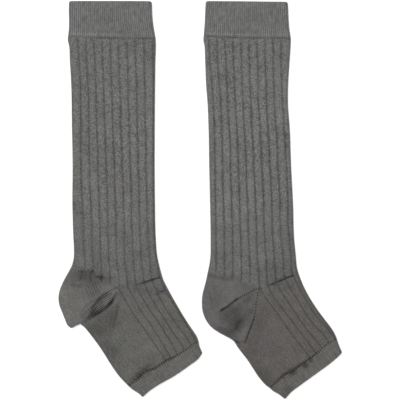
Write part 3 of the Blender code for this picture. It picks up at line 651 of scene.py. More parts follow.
def looks_of(shade, openness, plum, tone, inside, speckle=1.0):
    """What the material reads at each point: the colour by which the yarn's own is multiplied,
    which carries the painted shade and the painted darker inside, how open the knit lies, and how strong
    its speckle is."""
    colour = np.maximum(1 - shade, DARKEST)[..., None] * (1 + PLUM * plum[..., None]) * tone
    rest = np.stack([openness, np.broadcast_to(speckle, shade.shape)], axis=-1)
    return np.concatenate([colour * (INSIDE_IN_SHADE if inside else 1), rest], axis=-1)


# Marks across one rib, as shares of its width, closer together beside the furrows.
RIB_MARKS = (0, 0.03, 0.065, 0.1, 0.15, 0.22, 0.32, 0.44, 0.56, 0.68, 0.78, 0.85, 0.9, 0.935, 0.97)
RIB_MARKS_UNDER = (0, 0.05, 0.12, 0.28, 0.5, 0.72, 0.88, 0.95)
EDGE_MARKS = (0, 0.015, 0.04, 0.075, 0.12, 0.17, 0.23, 0.31, 0.41, 0.53, 0.65, 0.75, 0.83, 0.89, 0.93, 0.97)
EDGE_MARKS_UNDER = (0, 0.03, 0.08, 0.15, 0.24, 0.4, 0.6, 0.78, 0.9)
FINE_MARKS = (0, 0.15, 0.33, 0.5, 0.67, 0.85)
FINE_MARKS_UNDER = (0, 0.25, 0.5, 0.75)


def plain_marks(count):
    """Marks across plain knit, closer together at the sock's edge and beside the first furrow."""
    edge = np.array([0, 0.004, 0.01, 0.018, 0.028, 0.04, 0.054])
    return (*edge, *np.linspace(0.07, 0.975, count), 0.988, 0.995)


def turned(marks):
    """The same marks counted from the other side, with the first kept at 0."""
    return (0, *(1 - mark for mark in marks[:0:-1]))


def marks_across(part, grooves):
    """Marks across every rib of a piece, on the upper side and on the underside."""
    if part in FINE_RIBS:
        return [[marks] * (grooves + 1) for marks in (FINE_MARKS, FINE_MARKS_UNDER)]
    back = {"leg": (EDGE_MARKS, EDGE_MARKS_UNDER), "foot": (plain_marks(66), plain_marks(30))}[part]
    ribs = RIB_MARKS, RIB_MARKS_UNDER
    front = turned(EDGE_MARKS), turned(EDGE_MARKS_UNDER)
    return [[first, *[marks] * (grooves - 1), last] for first, marks, last in zip(back, ribs, front)]


def columns(marks_over, marks_under):
    """Rib counts round a ring: over the upper side from back to front, then back underneath."""
    over = [k + mark for k, marks in enumerate(marks_over) for mark in marks]
    under = [k + mark for k, marks in enumerate(marks_under) for mark in marks][1:]
    return np.array([*over, len(marks_over)]), np.array(under[::-1])


def rib_shape(count, width, grooves, furrow):
    """How high a rib stands at a rib count, from 0 in the furrow to 1 on the crown, and how far
    that is from the furrow."""
    part = count - np.floor(np.minimum(count, grooves + 0.999))
    left = np.where(count < 1, 9.0, part * width)
    right = np.where(count > grooves, 9.0, (1 - part) * width)
    away = np.minimum(left, right)
    crown = np.where((count > 1) & (count < grooves), 1 - (2 * part - 1) ** 2, 0.6)
    return FLANK * (1 - bell(away, furrow)) + CROWN * crown, away


def leg_grooves(table, field):
    """The shares across of the leg's furrows, for given shares along. The last of them run on
    down the foot."""
    rows = np.array(table["groove_rows"])
    order = np.linspace(0, 1, LEG_FURROWS)
    joined = np.array(table["foot_groove_rows"][0][1:])
    sway = [wander(40 + k) for k in range(LEG_FURROWS)]

    def shares(along):
        three = np.broadcast_to(np.array([0.0, 0.5, 1.0]), (len(along), 3))
        ends = field(three, np.broadcast_to(along[:, None], three.shape))
        down = ends[:, 1, 1]
        first, last, bow = (np.interp(down, rows[:, 0], rows[:, k])[:, None] for k in (1, 2, 3))
        places = first + (last - first) * order + 4 * bow * order * (1 - order)
        places = places + FURROW_SWAY * np.stack([line(along) for line in sway], axis=1)
        across = (places - ends[:, :1, 0]) / (ends[:, 2:, 0] - ends[:, :1, 0])
        meet = smooth((along - 0.9) / 0.1)[:, None]
        across[:, -len(joined):] = across[:, -len(joined):] * (1 - meet) + joined * meet
        return np.clip(across, FURROW_NEAREST, 1 - FURROW_NEAREST)

    return shares


def foot_grooves(table):
    """The same for the furrows down the instep."""
    rows = np.array(table["foot_groove_rows"])
    return lambda along: np.stack([np.interp(along, rows[:, 0], column) for column in rows.T[1:]], axis=1)


def even_grooves(count):
    """The same for a piece with this many ribs, all equally wide."""
    marks = np.linspace(0, 1, count + 1)[1:-1]
    return lambda along: np.broadcast_to(marks, (len(along), len(marks)))


def close_at_ends(count, start, end):
    """Shares along a piece, evenly spaced but for closer rows at the ends named."""
    rows = np.linspace(0, 1, count)
    extra = np.array([0.15, 0.35, 0.6]) * rows[1]
    return np.sort(np.concatenate([rows, extra[: 3 * start], 1 - extra[: 3 * end]]))


class Tube:
    """A pressed tube of knit, laid over a field of the plan."""

    def __init__(self, side, part, table, field, apex):
        plan = TUBES[part]
        self.side, self.part, self.table, self.field, self.apex = side, part, table, field, apex
        self.length, self.cut, self.hollow = plan.length, plan.cut, plan.hollow
        self.rows = close_at_ends(plan.rows, *plan.cut)
        if part in FINE_RIBS:
            self.furrows, self.grooves = FINE_RIBS[part] - 1, even_grooves(FINE_RIBS[part])
        elif part == "leg":
            self.furrows, self.grooves = LEG_FURROWS, leg_grooves(table, field)
        else:
            self.furrows, self.grooves = len(table["foot_groove_rows"][0]) - 1, foot_grooves(table)
        self.over, under = columns(*marks_across(part, self.furrows))
        self.count = np.concatenate([self.over, under])
        self.is_top = np.arange(len(self.count)) < len(self.over)

    def ribs(self, width, share, along):
        """Rib height in mm above the plain knit, and the painted shade in the furrow."""
        count = self.count
        if self.part in FINE_RIBS:
            shape = np.abs(np.sin(np.pi * count)) ** 0.7
            drawn = 0.8 + 0.45 * wander(8)(count / 44) * wander(9)(along * 0.6 + count / 90)
            return FINE_RIB * shape, FINE_SHADE * drawn * (1 - shape)
        furrow = GROOVE_WIDTH[self.part]
        shape, away = rib_shape(count, width, self.furrows, furrow)
        draw = np.random.RandomState(self.furrows + len(self.side))
        uneven = draw.uniform(*FURROW_UNEVEN, (len(along), self.furrows + 2))
        uneven = uneven[np.arange(len(along))[:, None], np.round(count).astype(int)]
        wide, narrow = (bell(away, share_of * furrow) for share_of in FURROW_REACH)
        broad, floor = FURROW_SHADES[self.part]
        shade = broad * uneven * wide + floor * narrow
        if self.part == "leg":
            shade = shade * np.interp(along, *FURROWS_ALONG[self.side])
            come_in, run_out = LEG_FADES
            above_heel = smooth((1 - along) * self.length / run_out + 0.1)
            fade = np.where(share < self.apex - 0.004, above_heel, 1.0)
            fade = fade * smooth(0.35 + along * self.length / come_in)
        else:
            fade = np.where(count < 1, smooth((count - 0.93) / 0.05), 1.0)
        return BROAD_RIB[self.part] * (shape * fade + FLANK * (1 - fade)), shade * fade

    def layer(self, along, inside=False):
        """One layer's points at the given shares along, the wales from each to the next, and
        the looks at each."""
        along = np.broadcast_to(np.asarray(along, float)[:, None], (len(along), len(self.count)))
        ends = np.zeros((len(along), 1)), np.ones((len(along), 1))
        knots = np.concatenate([ends[0], self.grooves(along[:, 0]), ends[1]], axis=1)
        low = np.minimum(self.count.astype(int), self.furrows)
        part = self.count - low
        share = knots[:, low] * (1 - part) + knots[:, low + 1] * part
        ruler = np.broadcast_to(np.linspace(0, 1, 33), (len(along), 33))
        across = measured(self.field(ruler, along[:, :33]))
        rib_width = (knots[:, low + 1] - knots[:, low]) * across
        raised, furrow = self.ribs(rib_width, share, along)
        if inside:
            inset = INSET / across
            share = inset + share * (1 - 2 * inset)
        if self.part == "cuff":
            share = 0.5 + (share - 0.5) * (1 - RIM_IN * (1 - rounded(along * self.length, RIM_ROUND)))
        plan = self.field(share, along)
        reach = np.minimum(share, 1 - share) * across
        depth, shade, openness, plum = dented(self.table, plan, reach)
        # Painted shade of a groove in a strip just inside the back and the front edge.
        strip, half = SIDE_STRIP
        shade = shade + np.where(share > 0.5, SIDE_SHADE[1], SIDE_SHADE[0]) * bell(reach - strip, half)
        hollow = np.interp(along, (0, 0.5, 1), self.hollow)
        full = np.maximum(2 * WALL + hollow + raised + uneven_lie(plan) - depth, LEAST_HEIGHT)
        recess = UNDER_RIB * (raised.max() - raised) + fold_under(depth)
        height = np.where(self.is_top, *heights(reach, full, recess, WALL + hollow if inside else None))
        # The underside keeps a share of the painted shade, and the furrow's painted shade joins it.
        shade = np.where(self.is_top, shade, UNDER_SHADE * shade)
        # The furrow's painted shade joins that of the folds, patches and edges.
        shade = 1 - (1 - shade) * (1 - furrow)
        speckle = np.interp(along, *SPECKLE_ALONG) if self.part == "leg" else 1.0
        looks = looks_of(shade, openness, plum, self.tone(share, along), inside, speckle)
        return metres(plan, height), self.wale_steps(share, across), looks

    def tone(self, share, along):
        """What the yarn's colour is multiplied by on this piece, which on the instep starts as the leg's.
        """
        tones = TONES[self.side]
        own = np.array(tones[self.part])
        if self.part == "foot":
            start = np.where(share > self.apex, smooth(1 - along / INSTEP_FADE), 0)[..., None]
            return own * (1 - start) + np.array(tones["instep"]) * start
        if self.part == "leg":
            return own * np.interp(along, *TONE_ALONG)[..., None]
        return own

    def wale_steps(self, share, across):
        """How many wales lie between each column and the next."""
        after = np.roll(self.count, -1)
        wide = np.abs(np.roll(share, -1, axis=1) - share) * across / WALE
        ribs = np.abs(after - self.count)
        if self.part in FINE_RIBS:
            return np.broadcast_to(WALES_IN_FINE_RIB * ribs, wide.shape)
        inner = (np.minimum(self.count, after) >= 1) & (np.maximum(self.count, after) <= self.furrows)
        return np.where(inner, WALES_IN_RIB * ribs, np.maximum(wide, 0.05))


def end_lip(tube, outer, inner, end):
    """Rows that carry the knit round a tube's cut end, from the outer side to the inner side,
    reaching a little past the line where the tube ends, so that linked pieces leave no gap."""
    line = (tube.layer(np.array([end]))[0] + tube.layer(np.array([end]), inside=True)[0]) / 2
    middle, half = (outer + inner) / 2, (outer - inner) / 2
    out = (line[0] - middle) * (LIP_REACH, LIP_REACH, 0)
    return np.stack([
        middle + half * np.cos(turn) + out * np.sin(turn) for turn in np.radians(LIP_TURNS)
    ])


def new_object(name, data):
    """An object of the scene, made from its mesh, light or lens."""
    made = bpy.data.objects.new(name, data)
    bpy.context.scene.collection.objects.link(made)
    return made


def fill(target, name, values, kind=np.float32):
    """Sets one value on every item of a mesh's list."""
    target.foreach_set(name, values.astype(kind).ravel())


def cloth(name, points, knit_map, bake_map, looks, closed_round=True):
    """A closed shell of knit from a grid of points: rows go round from outside to inside, and
    columns round the sock. The maps hold one more row and column than the points."""
    rows, count = points.shape[:2]
    i, j = np.meshgrid(np.arange(rows), np.arange(count if closed_round else count - 1), indexing="ij")
    corners = [(i, j), (i + 1, j), (i + 1, j + 1), (i, j + 1)]
    index = np.stack([(a % rows) * count + b % count for a, b in corners], axis=-1).reshape(-1, 4)
    maps = [
        np.stack([chart[a, b] for a, b in corners], axis=-2).reshape(-1, 4, 2)
        for chart in (knit_map, bake_map)
    ]
    if not closed_round:
        k = np.arange(rows // 2 - 1)
        for column, flip in ((0, False), (count - 1, True)):
            cap = np.stack([k, rows - 1 - k, rows - 2 - k, k + 1], axis=-1) * count + column
            spots = np.zeros((len(k), 4, 2)) + (0.999 if flip else 0.001)
            index = np.concatenate([index, cap[:, ::-1] if flip else cap])
            maps = [np.concatenate([chart, spots]) for chart in maps]
    flat = points.reshape(-1, 3)
    a, b, c, d = (flat[index[:, k]] for k in range(4))
    volume = (np.cross(a, b) * c).sum() + (np.cross(a, c) * d).sum()
    if volume < 0:
        index = index[:, ::-1]
        maps = [chart[:, ::-1] for chart in maps]
    mesh = bpy.data.meshes.new(name)
    mesh.vertices.add(len(flat))
    fill(mesh.vertices, "co", flat)
    mesh.loops.add(index.size)
    fill(mesh.loops, "vertex_index", index, np.int32)
    mesh.polygons.add(len(index))
    fill(mesh.polygons, "loop_start", np.arange(0, index.size, 4), np.int32)
    mesh.update(calc_edges=True)
    for title, chart in zip(("Knit", "OFBake"), maps):
        fill(mesh.uv_layers.new(name=title).uv, "vector", chart)
    mesh.uv_layers["OFBake"].active = True
    fill(mesh.attributes.new("lie", "FLOAT_COLOR", "POINT").data, "color", looks[..., :4])
    fill(mesh.attributes.new("speckle", "FLOAT", "POINT").data, "value", looks[..., 4])
    mesh.validate()
    mesh.shade_smooth()
    mesh.set_sharp_from_angle(angle=np.radians(70))
    return new_object(name, mesh)


# Share of the bake map's width that the upper side takes, and of its height for the outside.
BAKE_OVER, BAKE_OUTSIDE = 0.64, 0.86
BAKE_START, BAKE_SPAN = 0.002, 0.996  # what of the map is used, so that its border stays free


def bake_chart(is_top, first, outside, rest):
    """The map laid out for baking the materials to, for columns that are on top or not, from the
    first one's place, the outside's rows, and how many rows there are after them."""
    over = is_top.sum()
    width = np.where(is_top, BAKE_OVER / over, (1 - BAKE_OVER) / (len(is_top) - over))
    down = np.concatenate([
        BAKE_OUTSIDE * (outside - outside[0]) / (outside[-1] - outside[0]),
        BAKE_OUTSIDE + (1 - BAKE_OUTSIDE) * np.arange(1, rest + 2) / (rest + 1),
    ])
    return BAKE_START + BAKE_SPAN * np.stack(np.meshgrid(np.append(first, np.cumsum(width)), down), axis=-1)


def tube_piece(tube):
    """The shell of one tube, with its cut ends rounded, and the outside's points."""
    start, end = (WALL / 2 / tube.length * cut for cut in tube.cut)
    stop = 1 - end
    outer_rows = start + (stop - start) * tube.rows
    inner_rows = start + (stop - start) * np.linspace(1, 0, 15)
    outer, wales, looks = tube.layer(outer_rows)
    inner, *inner_rest = tube.layer(inner_rows, inside=True)

    def lip(row, way, end, low, high):
        """The rows round a cut end, as the layers' are given."""
        points = end_lip(tube, outer[row], inner[-1 - row], end)[::way]
        same = (np.repeat(values[row][None], len(points), axis=0) for values in (wales, looks))
        return points, *same, np.linspace(low, high, len(points))

    parts = [(outer, wales, looks, outer_rows)]
    if tube.cut[1]:
        parts.append(lip(-1, 1, 1.0, stop, 1))
    parts.append((inner, *inner_rest, 2 - inner_rows))
    if tube.cut[0]:
        parts.append(lip(0, -1, 0.0, 2, 2 + start))
    points, steps, looks, along = (np.concatenate(values) for values in zip(*parts))
    seam = len(tube.over) + (len(tube.count) - len(tube.over)) // 2
    points, steps, looks = (np.roll(values, -seam, axis=1) for values in (points, steps, looks))
    wale = np.concatenate([np.zeros((len(steps), 1)), np.cumsum(steps, axis=1)], axis=1)
    first_furrow = (np.searchsorted(tube.over, 1) - seam) % len(tube.count)
    wale -= wale[:, first_furrow][:, None] + 0.5
    wale = np.concatenate([wale, wale[:1]])
    course = np.append(along, along[-1] + 0.02) * tube.length / COURSE
    knit_map = np.stack([wale, np.broadcast_to(course[:, None], wale.shape)], axis=-1)
    bake_map = bake_chart(np.roll(tube.is_top, -seam), [0], outer_rows, len(along) - len(outer_rows))
    return cloth(f"{tube.side}_{tube.part}_cloth", points, knit_map, bake_map, looks), outer


# Shares from the gore's point to the back edge at which a heel has points.
HEEL_ALONG = np.concatenate([
    [0.0015], np.linspace(0.004, 0.9, 88),
    [0.915, 0.93, 0.943, 0.955, 0.966, 0.976, 0.984, 0.991, 0.996, 0.9985],
])
GORE_SHARE = 0.56  # how far across the heel its gore lies


def heel_piece(side, table, field):
    """The heel pocket: a wedge of plain knit folded round the back edge."""
    rows = smooth(np.linspace(0, 1, 96)) * 0.35 + np.linspace(0, 1, 96) * 0.65
    over = np.append(HEEL_ALONG, 1.0)
    along = np.concatenate([over, HEEL_ALONG[::-2]])
    is_top = np.arange(len(along)) < len(over)
    across = np.broadcast_to(rows[:, None], (len(rows), len(along)))
    along = np.broadcast_to(along, across.shape)
    size = measured(field(across[:, :41], np.broadcast_to(np.linspace(0, 1, 41), (len(rows), 41))))
    layers = []
    for inside in (False, True):
        reach = along * (1 - INSET / size) if inside else along
        plan = field(across, reach)
        inward = (1 - reach) * size
        depth, shade, openness, plum = dented(table, plan, inward)
        loft = HEEL_LOFT * np.sin(np.pi * across) ** 0.7 * np.sin(np.pi * np.clip(along, 0, 1)) ** 0.5
        full = 2 * WALL + HEEL_HOLLOW + HEEL_EXTRA + loft + uneven_lie(plan) - depth
        full = np.maximum(full, LEAST_HEIGHT)
        ceiling = full - WALL - HEEL_EXTRA if inside else None
        height = np.where(is_top, *heights(inward, full, fold_under(depth), ceiling))
        # The underside keeps a share of the painted shade.
        shade = np.where(is_top, shade, UNDER_SHADE * shade)
        layers.append((metres(plan, height), looks_of(shade, openness, plum, TONES[side]["heel"], inside)))
    points, looks = (np.concatenate([outer, inner[::-1]]) for outer, inner in zip(*layers))
    width = np.linalg.norm(np.diff(field(across, along) * STEP, axis=0), axis=-1).sum(0)
    from_gore = np.where(across < GORE_SHARE, across, GORE_SHARE / (1 - GORE_SHARE) * (1 - across))
    course = from_gore * width / HEEL_COURSE
    wale = np.where(is_top, along * size, (2 - along) * size + 0.5) / HEEL_WALE
    knit_map = np.stack([wale, course], axis=-1)
    knit_map = np.concatenate([knit_map, knit_map[::-1], knit_map[:1]])
    bake_map = bake_chart(is_top, [], np.linspace(0, 1, len(rows)), len(rows))
    return cloth(f"{side}_heel_cloth", points, knit_map, bake_map, looks, closed_round=False)


def stitches(name, centres, runs, size):
    """Small slanting stitches in one mesh: an egg of yarn at each centre, lying along its run."""
    turns, slices = 8, 5
    around = np.linspace(0, 2 * np.pi, turns, endpoint=False)
    down = np.linspace(0, np.pi, slices + 2)[1:-1]
    rings = [(-np.cos(a), np.sin(a) * np.cos(b), np.sin(a) * np.sin(b)) for a in down for b in around]
    egg = np.array([(-1, 0, 0), *rings, (1, 0, 0)]) * np.array(size) / 2000
    faces = [(0, 1 + (k + 1) % turns, 1 + k) for k in range(turns)]
    for ring in range(slices - 1):
        a, b = 1 + ring * turns, 1 + (ring + 1) * turns
        faces += [(a + k, a + (k + 1) % turns, b + (k + 1) % turns, b + k) for k in range(turns)]
    last, end = 1 + (slices - 1) * turns, len(egg) - 1
    faces += [(last + k, last + (k + 1) % turns, end) for k in range(turns)]
    runs = runs / np.linalg.norm(runs, axis=1, keepdims=True)
    sideways = np.cross(np.array([0, 0, 1.0]), runs)
    sideways /= np.linalg.norm(sideways, axis=1, keepdims=True)
    axes = runs, sideways, np.cross(runs, sideways)
    points = centres[:, None] + sum(egg[None, :, k, None] * axis[:, None] for k, axis in enumerate(axes))
    points[..., 2] = np.maximum(points[..., 2] + LINKING_LIFT / 1000, 0)
    every = [tuple(n * len(egg) + v for v in face) for n in range(len(centres)) for face in faces]
    mesh = bpy.data.meshes.new(name)
    mesh.from_pydata(points.reshape(-1, 3).tolist(), [], every)
    mesh.shade_smooth()
    return new_object(name, mesh)


def spaced(points, pitch):
    """Places a pitch apart, in mm, round a closed line of points, and the line's run at each."""
    line = np.concatenate([points, points[:1]])
    steps = np.linalg.norm(np.diff(line, axis=0), axis=1)
    marks = np.concatenate([[0], np.cumsum(steps)])
    count = int(marks[-1] * 1000 / pitch)
    at = np.linspace(0, marks[-1], count, endpoint=False)
    places = np.stack([np.interp(at, marks, line[:, k]) for k in range(3)], axis=-1)
    ahead = np.roll(places, -1, axis=0) - np.roll(places, 1, axis=0)
    return places, ahead


def linking_row(name, ring, pitch, size):
    """The row of slanting linking stitches where two pieces are joined round the sock."""
    places, run = spaced(ring, pitch)
    across = np.cross(np.array([0, 0, 1.0]), run)
    return stitches(name, places, run + LINKING_SLANT * across, size)


def sock(side, table):
    """The cloth of one sock's five pieces, and the outermost points of each tube."""
    table = {**table, "folds": {**table["folds"], **seam_folds(table)}}
    heel, (middle, *_, ankle), sole = table["heel_top"][0], table["instep"], table["sole_edge"][0]
    apex = (middle[0] - heel[0]) / (ankle[0] - heel[0])
    instep = Line(table["instep"], shares_by_right(table["instep"], middle[0], ankle[0]))
    heel_top = table["heel_top"] + [middle]
    leg_end = Joined(Line(heel_top, shares_by_right(heel_top, heel[0], middle[0])), instep, apex)
    foot_start = Joined(Line(table["sole_edge"] + [middle]), instep, apex)
    lines = {"leg_end": leg_end, "foot_start": foot_start}
    corners = {"leg_end": (heel, ankle), "foot_start": (sole, ankle)}
    for name in ("rim", "cuff_seam", "toe_seam", "toe_rim"):
        lines[name], corners[name] = Line(table[name]), (table[name][0], table[name][-1])

    def edge(which, start, end):
        """The line along one of the sock's edges between two of its points."""
        points = table[which]
        return Line(points[points.index(start) : points.index(end) + 1])

    heel_back = edge("back", heel, sole)

    def heel_field(across, along):
        """From the gore's point (along 0) out to the back edge (along 1)."""
        w, v = along[..., None], across[..., None]
        top, sole = leg_end(apex * (1 - along)), foot_start(apex * (1 - along))
        tip = np.array(middle)
        corners = (1 - w) * tip + (1 - v) * w * leg_end(0.0) + v * w * foot_start(0.0)
        return (1 - v) * top + v * sole + (1 - w) * tip + w * heel_back(across) - corners

    pieces, rings = {}, {}
    for part, plan in TUBES.items():
        ends = zip(("back", "front"), corners[plan.start], corners[plan.end])
        field = Field(lines[plan.start], lines[plan.end], *(edge(*end) for end in ends))
        pieces[part], rings[part] = tube_piece(Tube(side, part, table, field, apex))
    pieces["heel"] = heel_piece(side, table, heel_field)
    return pieces, rings


def wire(tree, made, wires):
    """Sets a node's inputs: values, or sockets to wire in."""
    for key, value in wires.items():
        if isinstance(value, bpy.types.NodeSocket):
            tree.links.new(value, made.inputs[key])
        else:
            made.inputs[key].default_value = value
    return made


def node(tree, kind, wires, **settings):
    """A shader node with its inputs and its settings."""
    made = tree.nodes.new("ShaderNode" + kind)
    for key, value in settings.items():
        setattr(made, key, value)
    return wire(tree, made, wires)


def maths(operation, *values, clamp=False):
    """What a sum on values and sockets gives, in the sockets' own tree."""
    tree = next(value.id_data for value in values if isinstance(value, bpy.types.NodeSocket))
    return node(tree, "Math", dict(enumerate(values)), operation=operation, use_clamp=clamp).outputs[0]


SUMS = ("ADD", "SUBTRACT", "MULTIPLY", "MULTIPLY_ADD")
plus, minus, times, times_plus = (partial(maths, operation) for operation in SUMS)


def new_group(name, inputs, outputs):
    """An empty node group with named sockets, given as {name: (kind, starting value)}, what
    comes into it, and the node that takes its results."""
    group = bpy.data.node_groups.new(name, "ShaderNodeTree")
    for title, (kind, value) in inputs.items():
        socket = group.interface.new_socket(title, in_out="INPUT", socket_type="NodeSocket" + kind)
        if value is not None:
            socket.default_value = value
    for title, kind in outputs.items():
        group.interface.new_socket(title, in_out="OUTPUT", socket_type="NodeSocket" + kind)
    return group, group.nodes.new("NodeGroupInput").outputs, group.nodes.new("NodeGroupOutput")


def new_material(name, values):
    """A material, its node tree and its shader, which has these values."""
    material = bpy.data.materials.new(name)
    material.use_nodes = True
    shader = material.node_tree.nodes["Principled BSDF"]
    return material, material.node_tree, wire(material.node_tree, shader, values)


def knit_stitches():
    """Columns of V-shaped stitches on a map counted in wales and courses."""
    group, given, result = new_group(
        "knit stitches",
        {
            "Knit": ("Vector", None),
            "Unevenness": ("Float", 0.15),
            "Slant": ("Float", 1.5),
        },
        {"Height": "Float", "Gap": "Float", "Stitch": "Float"},
    )
    uneven = node(group, "TexNoise", {"Vector": given["Knit"], "Scale": 0.9, "Detail": 1.0})
    uneven = minus(uneven.outputs["Fac"], 0.5)
    spread = times(uneven, given["Unevenness"])
    place = node(group, "SeparateXYZ", {"Vector": given["Knit"]}).outputs
    wale = plus(place["X"], spread)
    side = maths("ABSOLUTE", minus(maths("FRACT", wale), 0.5))
    leg = maths("SINE", times(side, 2 * np.pi))
    slanted = plus(place["Y"], times(side, given["Slant"]))
    slanted = plus(slanted, times(spread, 2.0))
    loop = maths("SINE", times(slanted, 2 * np.pi))
    loop = times_plus(loop, 0.5, 0.5)
    leg = maths("POWER", maths("MAXIMUM", leg, 0.0), 0.7)
    yarn = times(leg, times_plus(loop, 0.75, 0.25))
    gap = minus(1.0, times(yarn, 1.5), clamp=True)
    cell = {"X": maths("FLOOR", wale), "Y": maths("FLOOR", slanted)}
    cell = node(group, "CombineXYZ", cell).outputs[0]
    chance = node(group, "TexWhiteNoise", {"Vector": cell}, noise_dimensions="2D")
    wire(group, result, {"Height": yarn, "Gap": gap, "Stitch": chance.outputs["Value"]})
    return group


def heathered_yarn():
    """Dark and light fibres spun together: specks, streaks up the wales, and slow drift."""
    group, given, result = new_group(
        "heathered yarn",
        {
            "Knit": ("Vector", None),
            "Place": ("Vector", None),
            "Stitch": ("Float", 0.5),
            "Specks": ("Float", 1.0),
            "Streaks": ("Float", 1.0),
            "Dark": ("Color", (0.08, 0.08, 0.08, 1)),
            "Light": ("Color", (0.14, 0.14, 0.14, 1)),
        },
        {"Color": "Color", "Speck": "Float"},
    )

    def noise(vector, stretch=None, **values):
        """A noise's strength at a vector, which may be stretched first."""
        if stretch:
            vector = node(group, "Mapping", {"Vector": vector, "Scale": stretch}).outputs[0]
        return node(group, "TexNoise", {"Vector": vector, **values}).outputs["Fac"]

    specks = noise(given["Knit"], (2.0, 1.7, 1), Scale=1.0, Detail=2.0, Roughness=0.6)
    streaks = noise(given["Knit"], (0.8, 0.1, 1), Scale=1.0, Detail=1.0)
    drift = noise(given["Place"], Scale=60.0, Detail=2.0)
    chance = times(minus(given["Stitch"], 0.5), given["Specks"])
    mixed = times_plus(chance, 0.95, 0.5)
    fine = times(given["Specks"], 1.2)
    for found, share in ((specks, fine), (streaks, given["Streaks"]), (drift, 0.6)):
        part = times(minus(found, 0.5), share)
        mixed = plus(part, mixed)
    fibres = {"Factor": mixed, "A": given["Dark"], "B": given["Light"]}
    colour = node(group, "Mix", fibres, data_type="RGBA", clamp_factor=True)
    wire(group, result, {"Color": colour.outputs["Result"], "Speck": specks})
    return group


Knit = namedtuple("Knit", "dark light specks streaks relief gap_shade open_shade slant")
# The yarn's darkest and lightest fibres, how strongly single stitches and whole columns of them differ, the
# stitches' relief in mm, how dark the painted shade in the gaps between stitches is where the knit lies
# closed and how much darker where it lies open, and how far a stitch leans.
"""The yarn's darkest and lightest fibres, how strongly single stitches and whole columns of
them differ, the stitches' relief in mm, how dark the gaps between stitches are where the knit
lies closed and how much darker where it lies open, and how far a stitch leans."""

KNITS = {
    "cuff_knit": Knit((0.105, 0.107, 0.105), (0.205, 0.208, 0.203), 0.6, 1.8, 0.22, 0.2, 0.3, 1.5),
    "leg_knit": Knit((0.085, 0.085, 0.082), (0.240, 0.239, 0.233), 1.1, 0.3, 0.30, 0.25, 0.3, 1.5),
    "heel_knit": Knit((0.125, 0.123, 0.121), (0.220, 0.216, 0.212), 0.45, 0.5, 0.35, 0.22, 0.7, 0.35),
    "foot_knit": Knit((0.105, 0.104, 0.103), (0.195, 0.194, 0.191), 0.8, 1.0, 0.24, 0.25, 0.2, 1.5),
    "toe_band_knit": Knit((0.105, 0.105, 0.103), (0.200, 0.199, 0.196), 0.6, 1.4, 0.22, 0.25, 0.2, 1.5),
}


def knit_material(name, knit, stitch_group, yarn_group):
    """Heathered knit: fibre colours, stitch relief, painted shade in the stitch gaps, and the painted shade
    of folds, furrows, edges and patches that the mesh carries.
    """
    rest = {"Specular IOR Level": 0.25, "Sheen Weight": 0.12, "Sheen Roughness": 0.5}
    material, tree, shader = new_material(name, rest)
    chart = node(tree, "UVMap", {}, uv_map="Knit").outputs["UV"]
    place = node(tree, "TexCoord", {}).outputs["Object"]
    speckle = node(tree, "Attribute", {}, attribute_name="speckle").outputs["Fac"]
    lie = node(tree, "Attribute", {}, attribute_name="lie").outputs
    stitch = node(tree, "Group", {"Knit": chart, "Slant": knit.slant}, node_tree=stitch_group)
    stitch = stitch.outputs
    fibres = {
        "Knit": chart, "Place": place, "Stitch": stitch["Stitch"],
        "Specks": times(speckle, knit.specks), "Streaks": knit.streaks,
        "Dark": (*knit.dark, 1), "Light": (*knit.light, 1),
    }
    yarn = node(tree, "Group", fibres, node_tree=yarn_group).outputs
    # Painted shade in the gaps between stitches, stronger where the knit lies open.
    gap_shade = times_plus(lie["Alpha"], knit.open_shade, knit.gap_shade)
    closed_gap = minus(1.0, times(stitch["Gap"], gap_shade))
    # The yarn's colour times the mesh's tint and painted shade.
    colour = {0: yarn["Color"], 1: lie["Color"]}
    colour = node(tree, "VectorMath", colour, operation="MULTIPLY").outputs[0]
    colour = node(tree, "VectorMath", {0: colour, "Scale": closed_gap}, operation="SCALE")
    height = plus(stitch["Height"], times(yarn["Speck"], 0.5))
    bump = node(tree, "Bump", {"Height": height, "Distance": knit.relief / 1000, "Strength": 0.8})
    wire(tree, shader, {
        "Base Color": colour.outputs[0],
        "Roughness": times_plus(yarn["Speck"], 0.16, 0.78),
        "Normal": bump.outputs["Normal"],
    })
    return material


def thread_material(name, dark, light):
    """Yarn of the seams: the sock's own heather, twisted."""
    material, tree, shader = new_material(name, {"Roughness": 0.85, "Specular IOR Level": 0.25})
    place = node(tree, "TexCoord", {}).outputs["Object"]
    fibres = node(tree, "TexNoise", {"Vector": place, "Scale": 1400.0, "Detail": 2.0})
    twist = {"Vector": place, "Scale": 700.0, "Distortion": 3.0}
    ply = node(tree, "TexWave", twist, bands_direction="DIAGONAL").outputs["Fac"]
    ramp = node(tree, "ValToRGB", {"Fac": fibres.outputs["Fac"]})
    for stop, position, colour in zip(ramp.color_ramp.elements, (0.3, 0.7), (dark, light)):
        stop.position, stop.color = position, (*colour, 1)
    bump = node(tree, "Bump", {"Height": ply, "Distance": 0.0001, "Strength": 0.6})
    wire(tree, shader, {"Base Color": ramp.outputs["Color"], "Normal": bump.outputs["Normal"]})
    return material


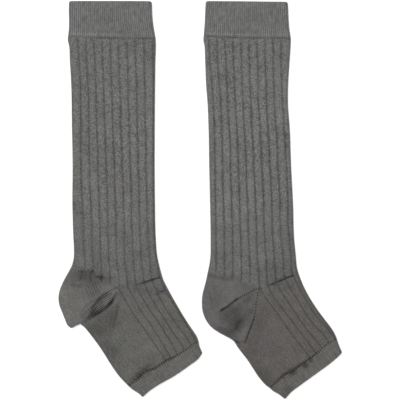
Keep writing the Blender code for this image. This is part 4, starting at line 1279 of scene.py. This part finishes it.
def studio():
    """A pale table, soft light from all round and above, and a camera straight overhead."""
    scene = bpy.context.scene
    mesh = bpy.data.meshes.new("table")
    half, below = 2.5, -0.00006
    corners = [(x * half, y * half, below) for x, y in ((-1, -1), (1, -1), (1, 1), (-1, 1))]
    mesh.from_pydata(corners, [], [(0, 1, 2, 3)])
    paint, *_ = new_material("table white", {
        "Base Color": (0.94, 0.94, 0.94, 1), "Emission Color": (1, 1, 1, 1), "Emission Strength": 0.12,
        "Roughness": 0.9, "Specular IOR Level": 0.1,
    })
    mesh.materials.append(paint)
    new_object("table", mesh)

    scene.world = bpy.data.worlds.new("soft white room")
    scene.world.use_nodes = True
    tree = scene.world.node_tree
    wire(tree, tree.nodes["Background"], {"Color": (1, 1, 1, 1), "Strength": 0.85})

    lamp = bpy.data.lights.new("overhead softbox", "AREA")
    lamp.shape, lamp.size, lamp.energy = "SQUARE", 0.9, 9.0
    softbox = new_object("overhead softbox", lamp)
    softbox.location = (-0.25, 0.35, 1.3)
    softbox.rotation_euler = (np.radians(-15), np.radians(-11), 0)

    lens = bpy.data.cameras.new("overhead camera")
    lens.lens, lens.sensor_width = 85, 36
    camera = new_object("overhead camera", lens)
    right, down, _ = metres(np.array([200.0, 200.0]), 0)
    shown, knit_height = 400 * STEP / 1000, 0.003
    camera.location = (right, down, knit_height + shown / (lens.sensor_width / lens.lens))
    scene.camera = camera
    scene.view_settings.view_transform = "Standard"


def main():
    """The studio, the materials and both socks, each piece attached to the root body in place of its part
    from model.glb, which is hidden.
    """
    studio()
    groups = knit_stitches(), heathered_yarn()
    materials = {slot: knit_material(slot, knit, *groups) for slot, knit in KNITS.items()}
    thread = thread_material("linking yarn", (0.055, 0.054, 0.052), (0.14, 0.138, 0.134))
    for side, table in (("left", LEFT), ("right", RIGHT)):
        pieces, rings = sock(side, table)
        seams = {
            part: linking_row(f"{side}_{row.name}", rings[row.along][0], row.pitch, row.size)
            for part, row in LINKINGS.items()
        }
        for part, piece in pieces.items():
            piece.data.materials.append(materials[f"{part}_knit"])
            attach(piece, "root")
            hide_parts(f"{side}_{part}")
        for part, seam in seams.items():
            seam.data.materials.append(thread)
            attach(seam, "root")


main()
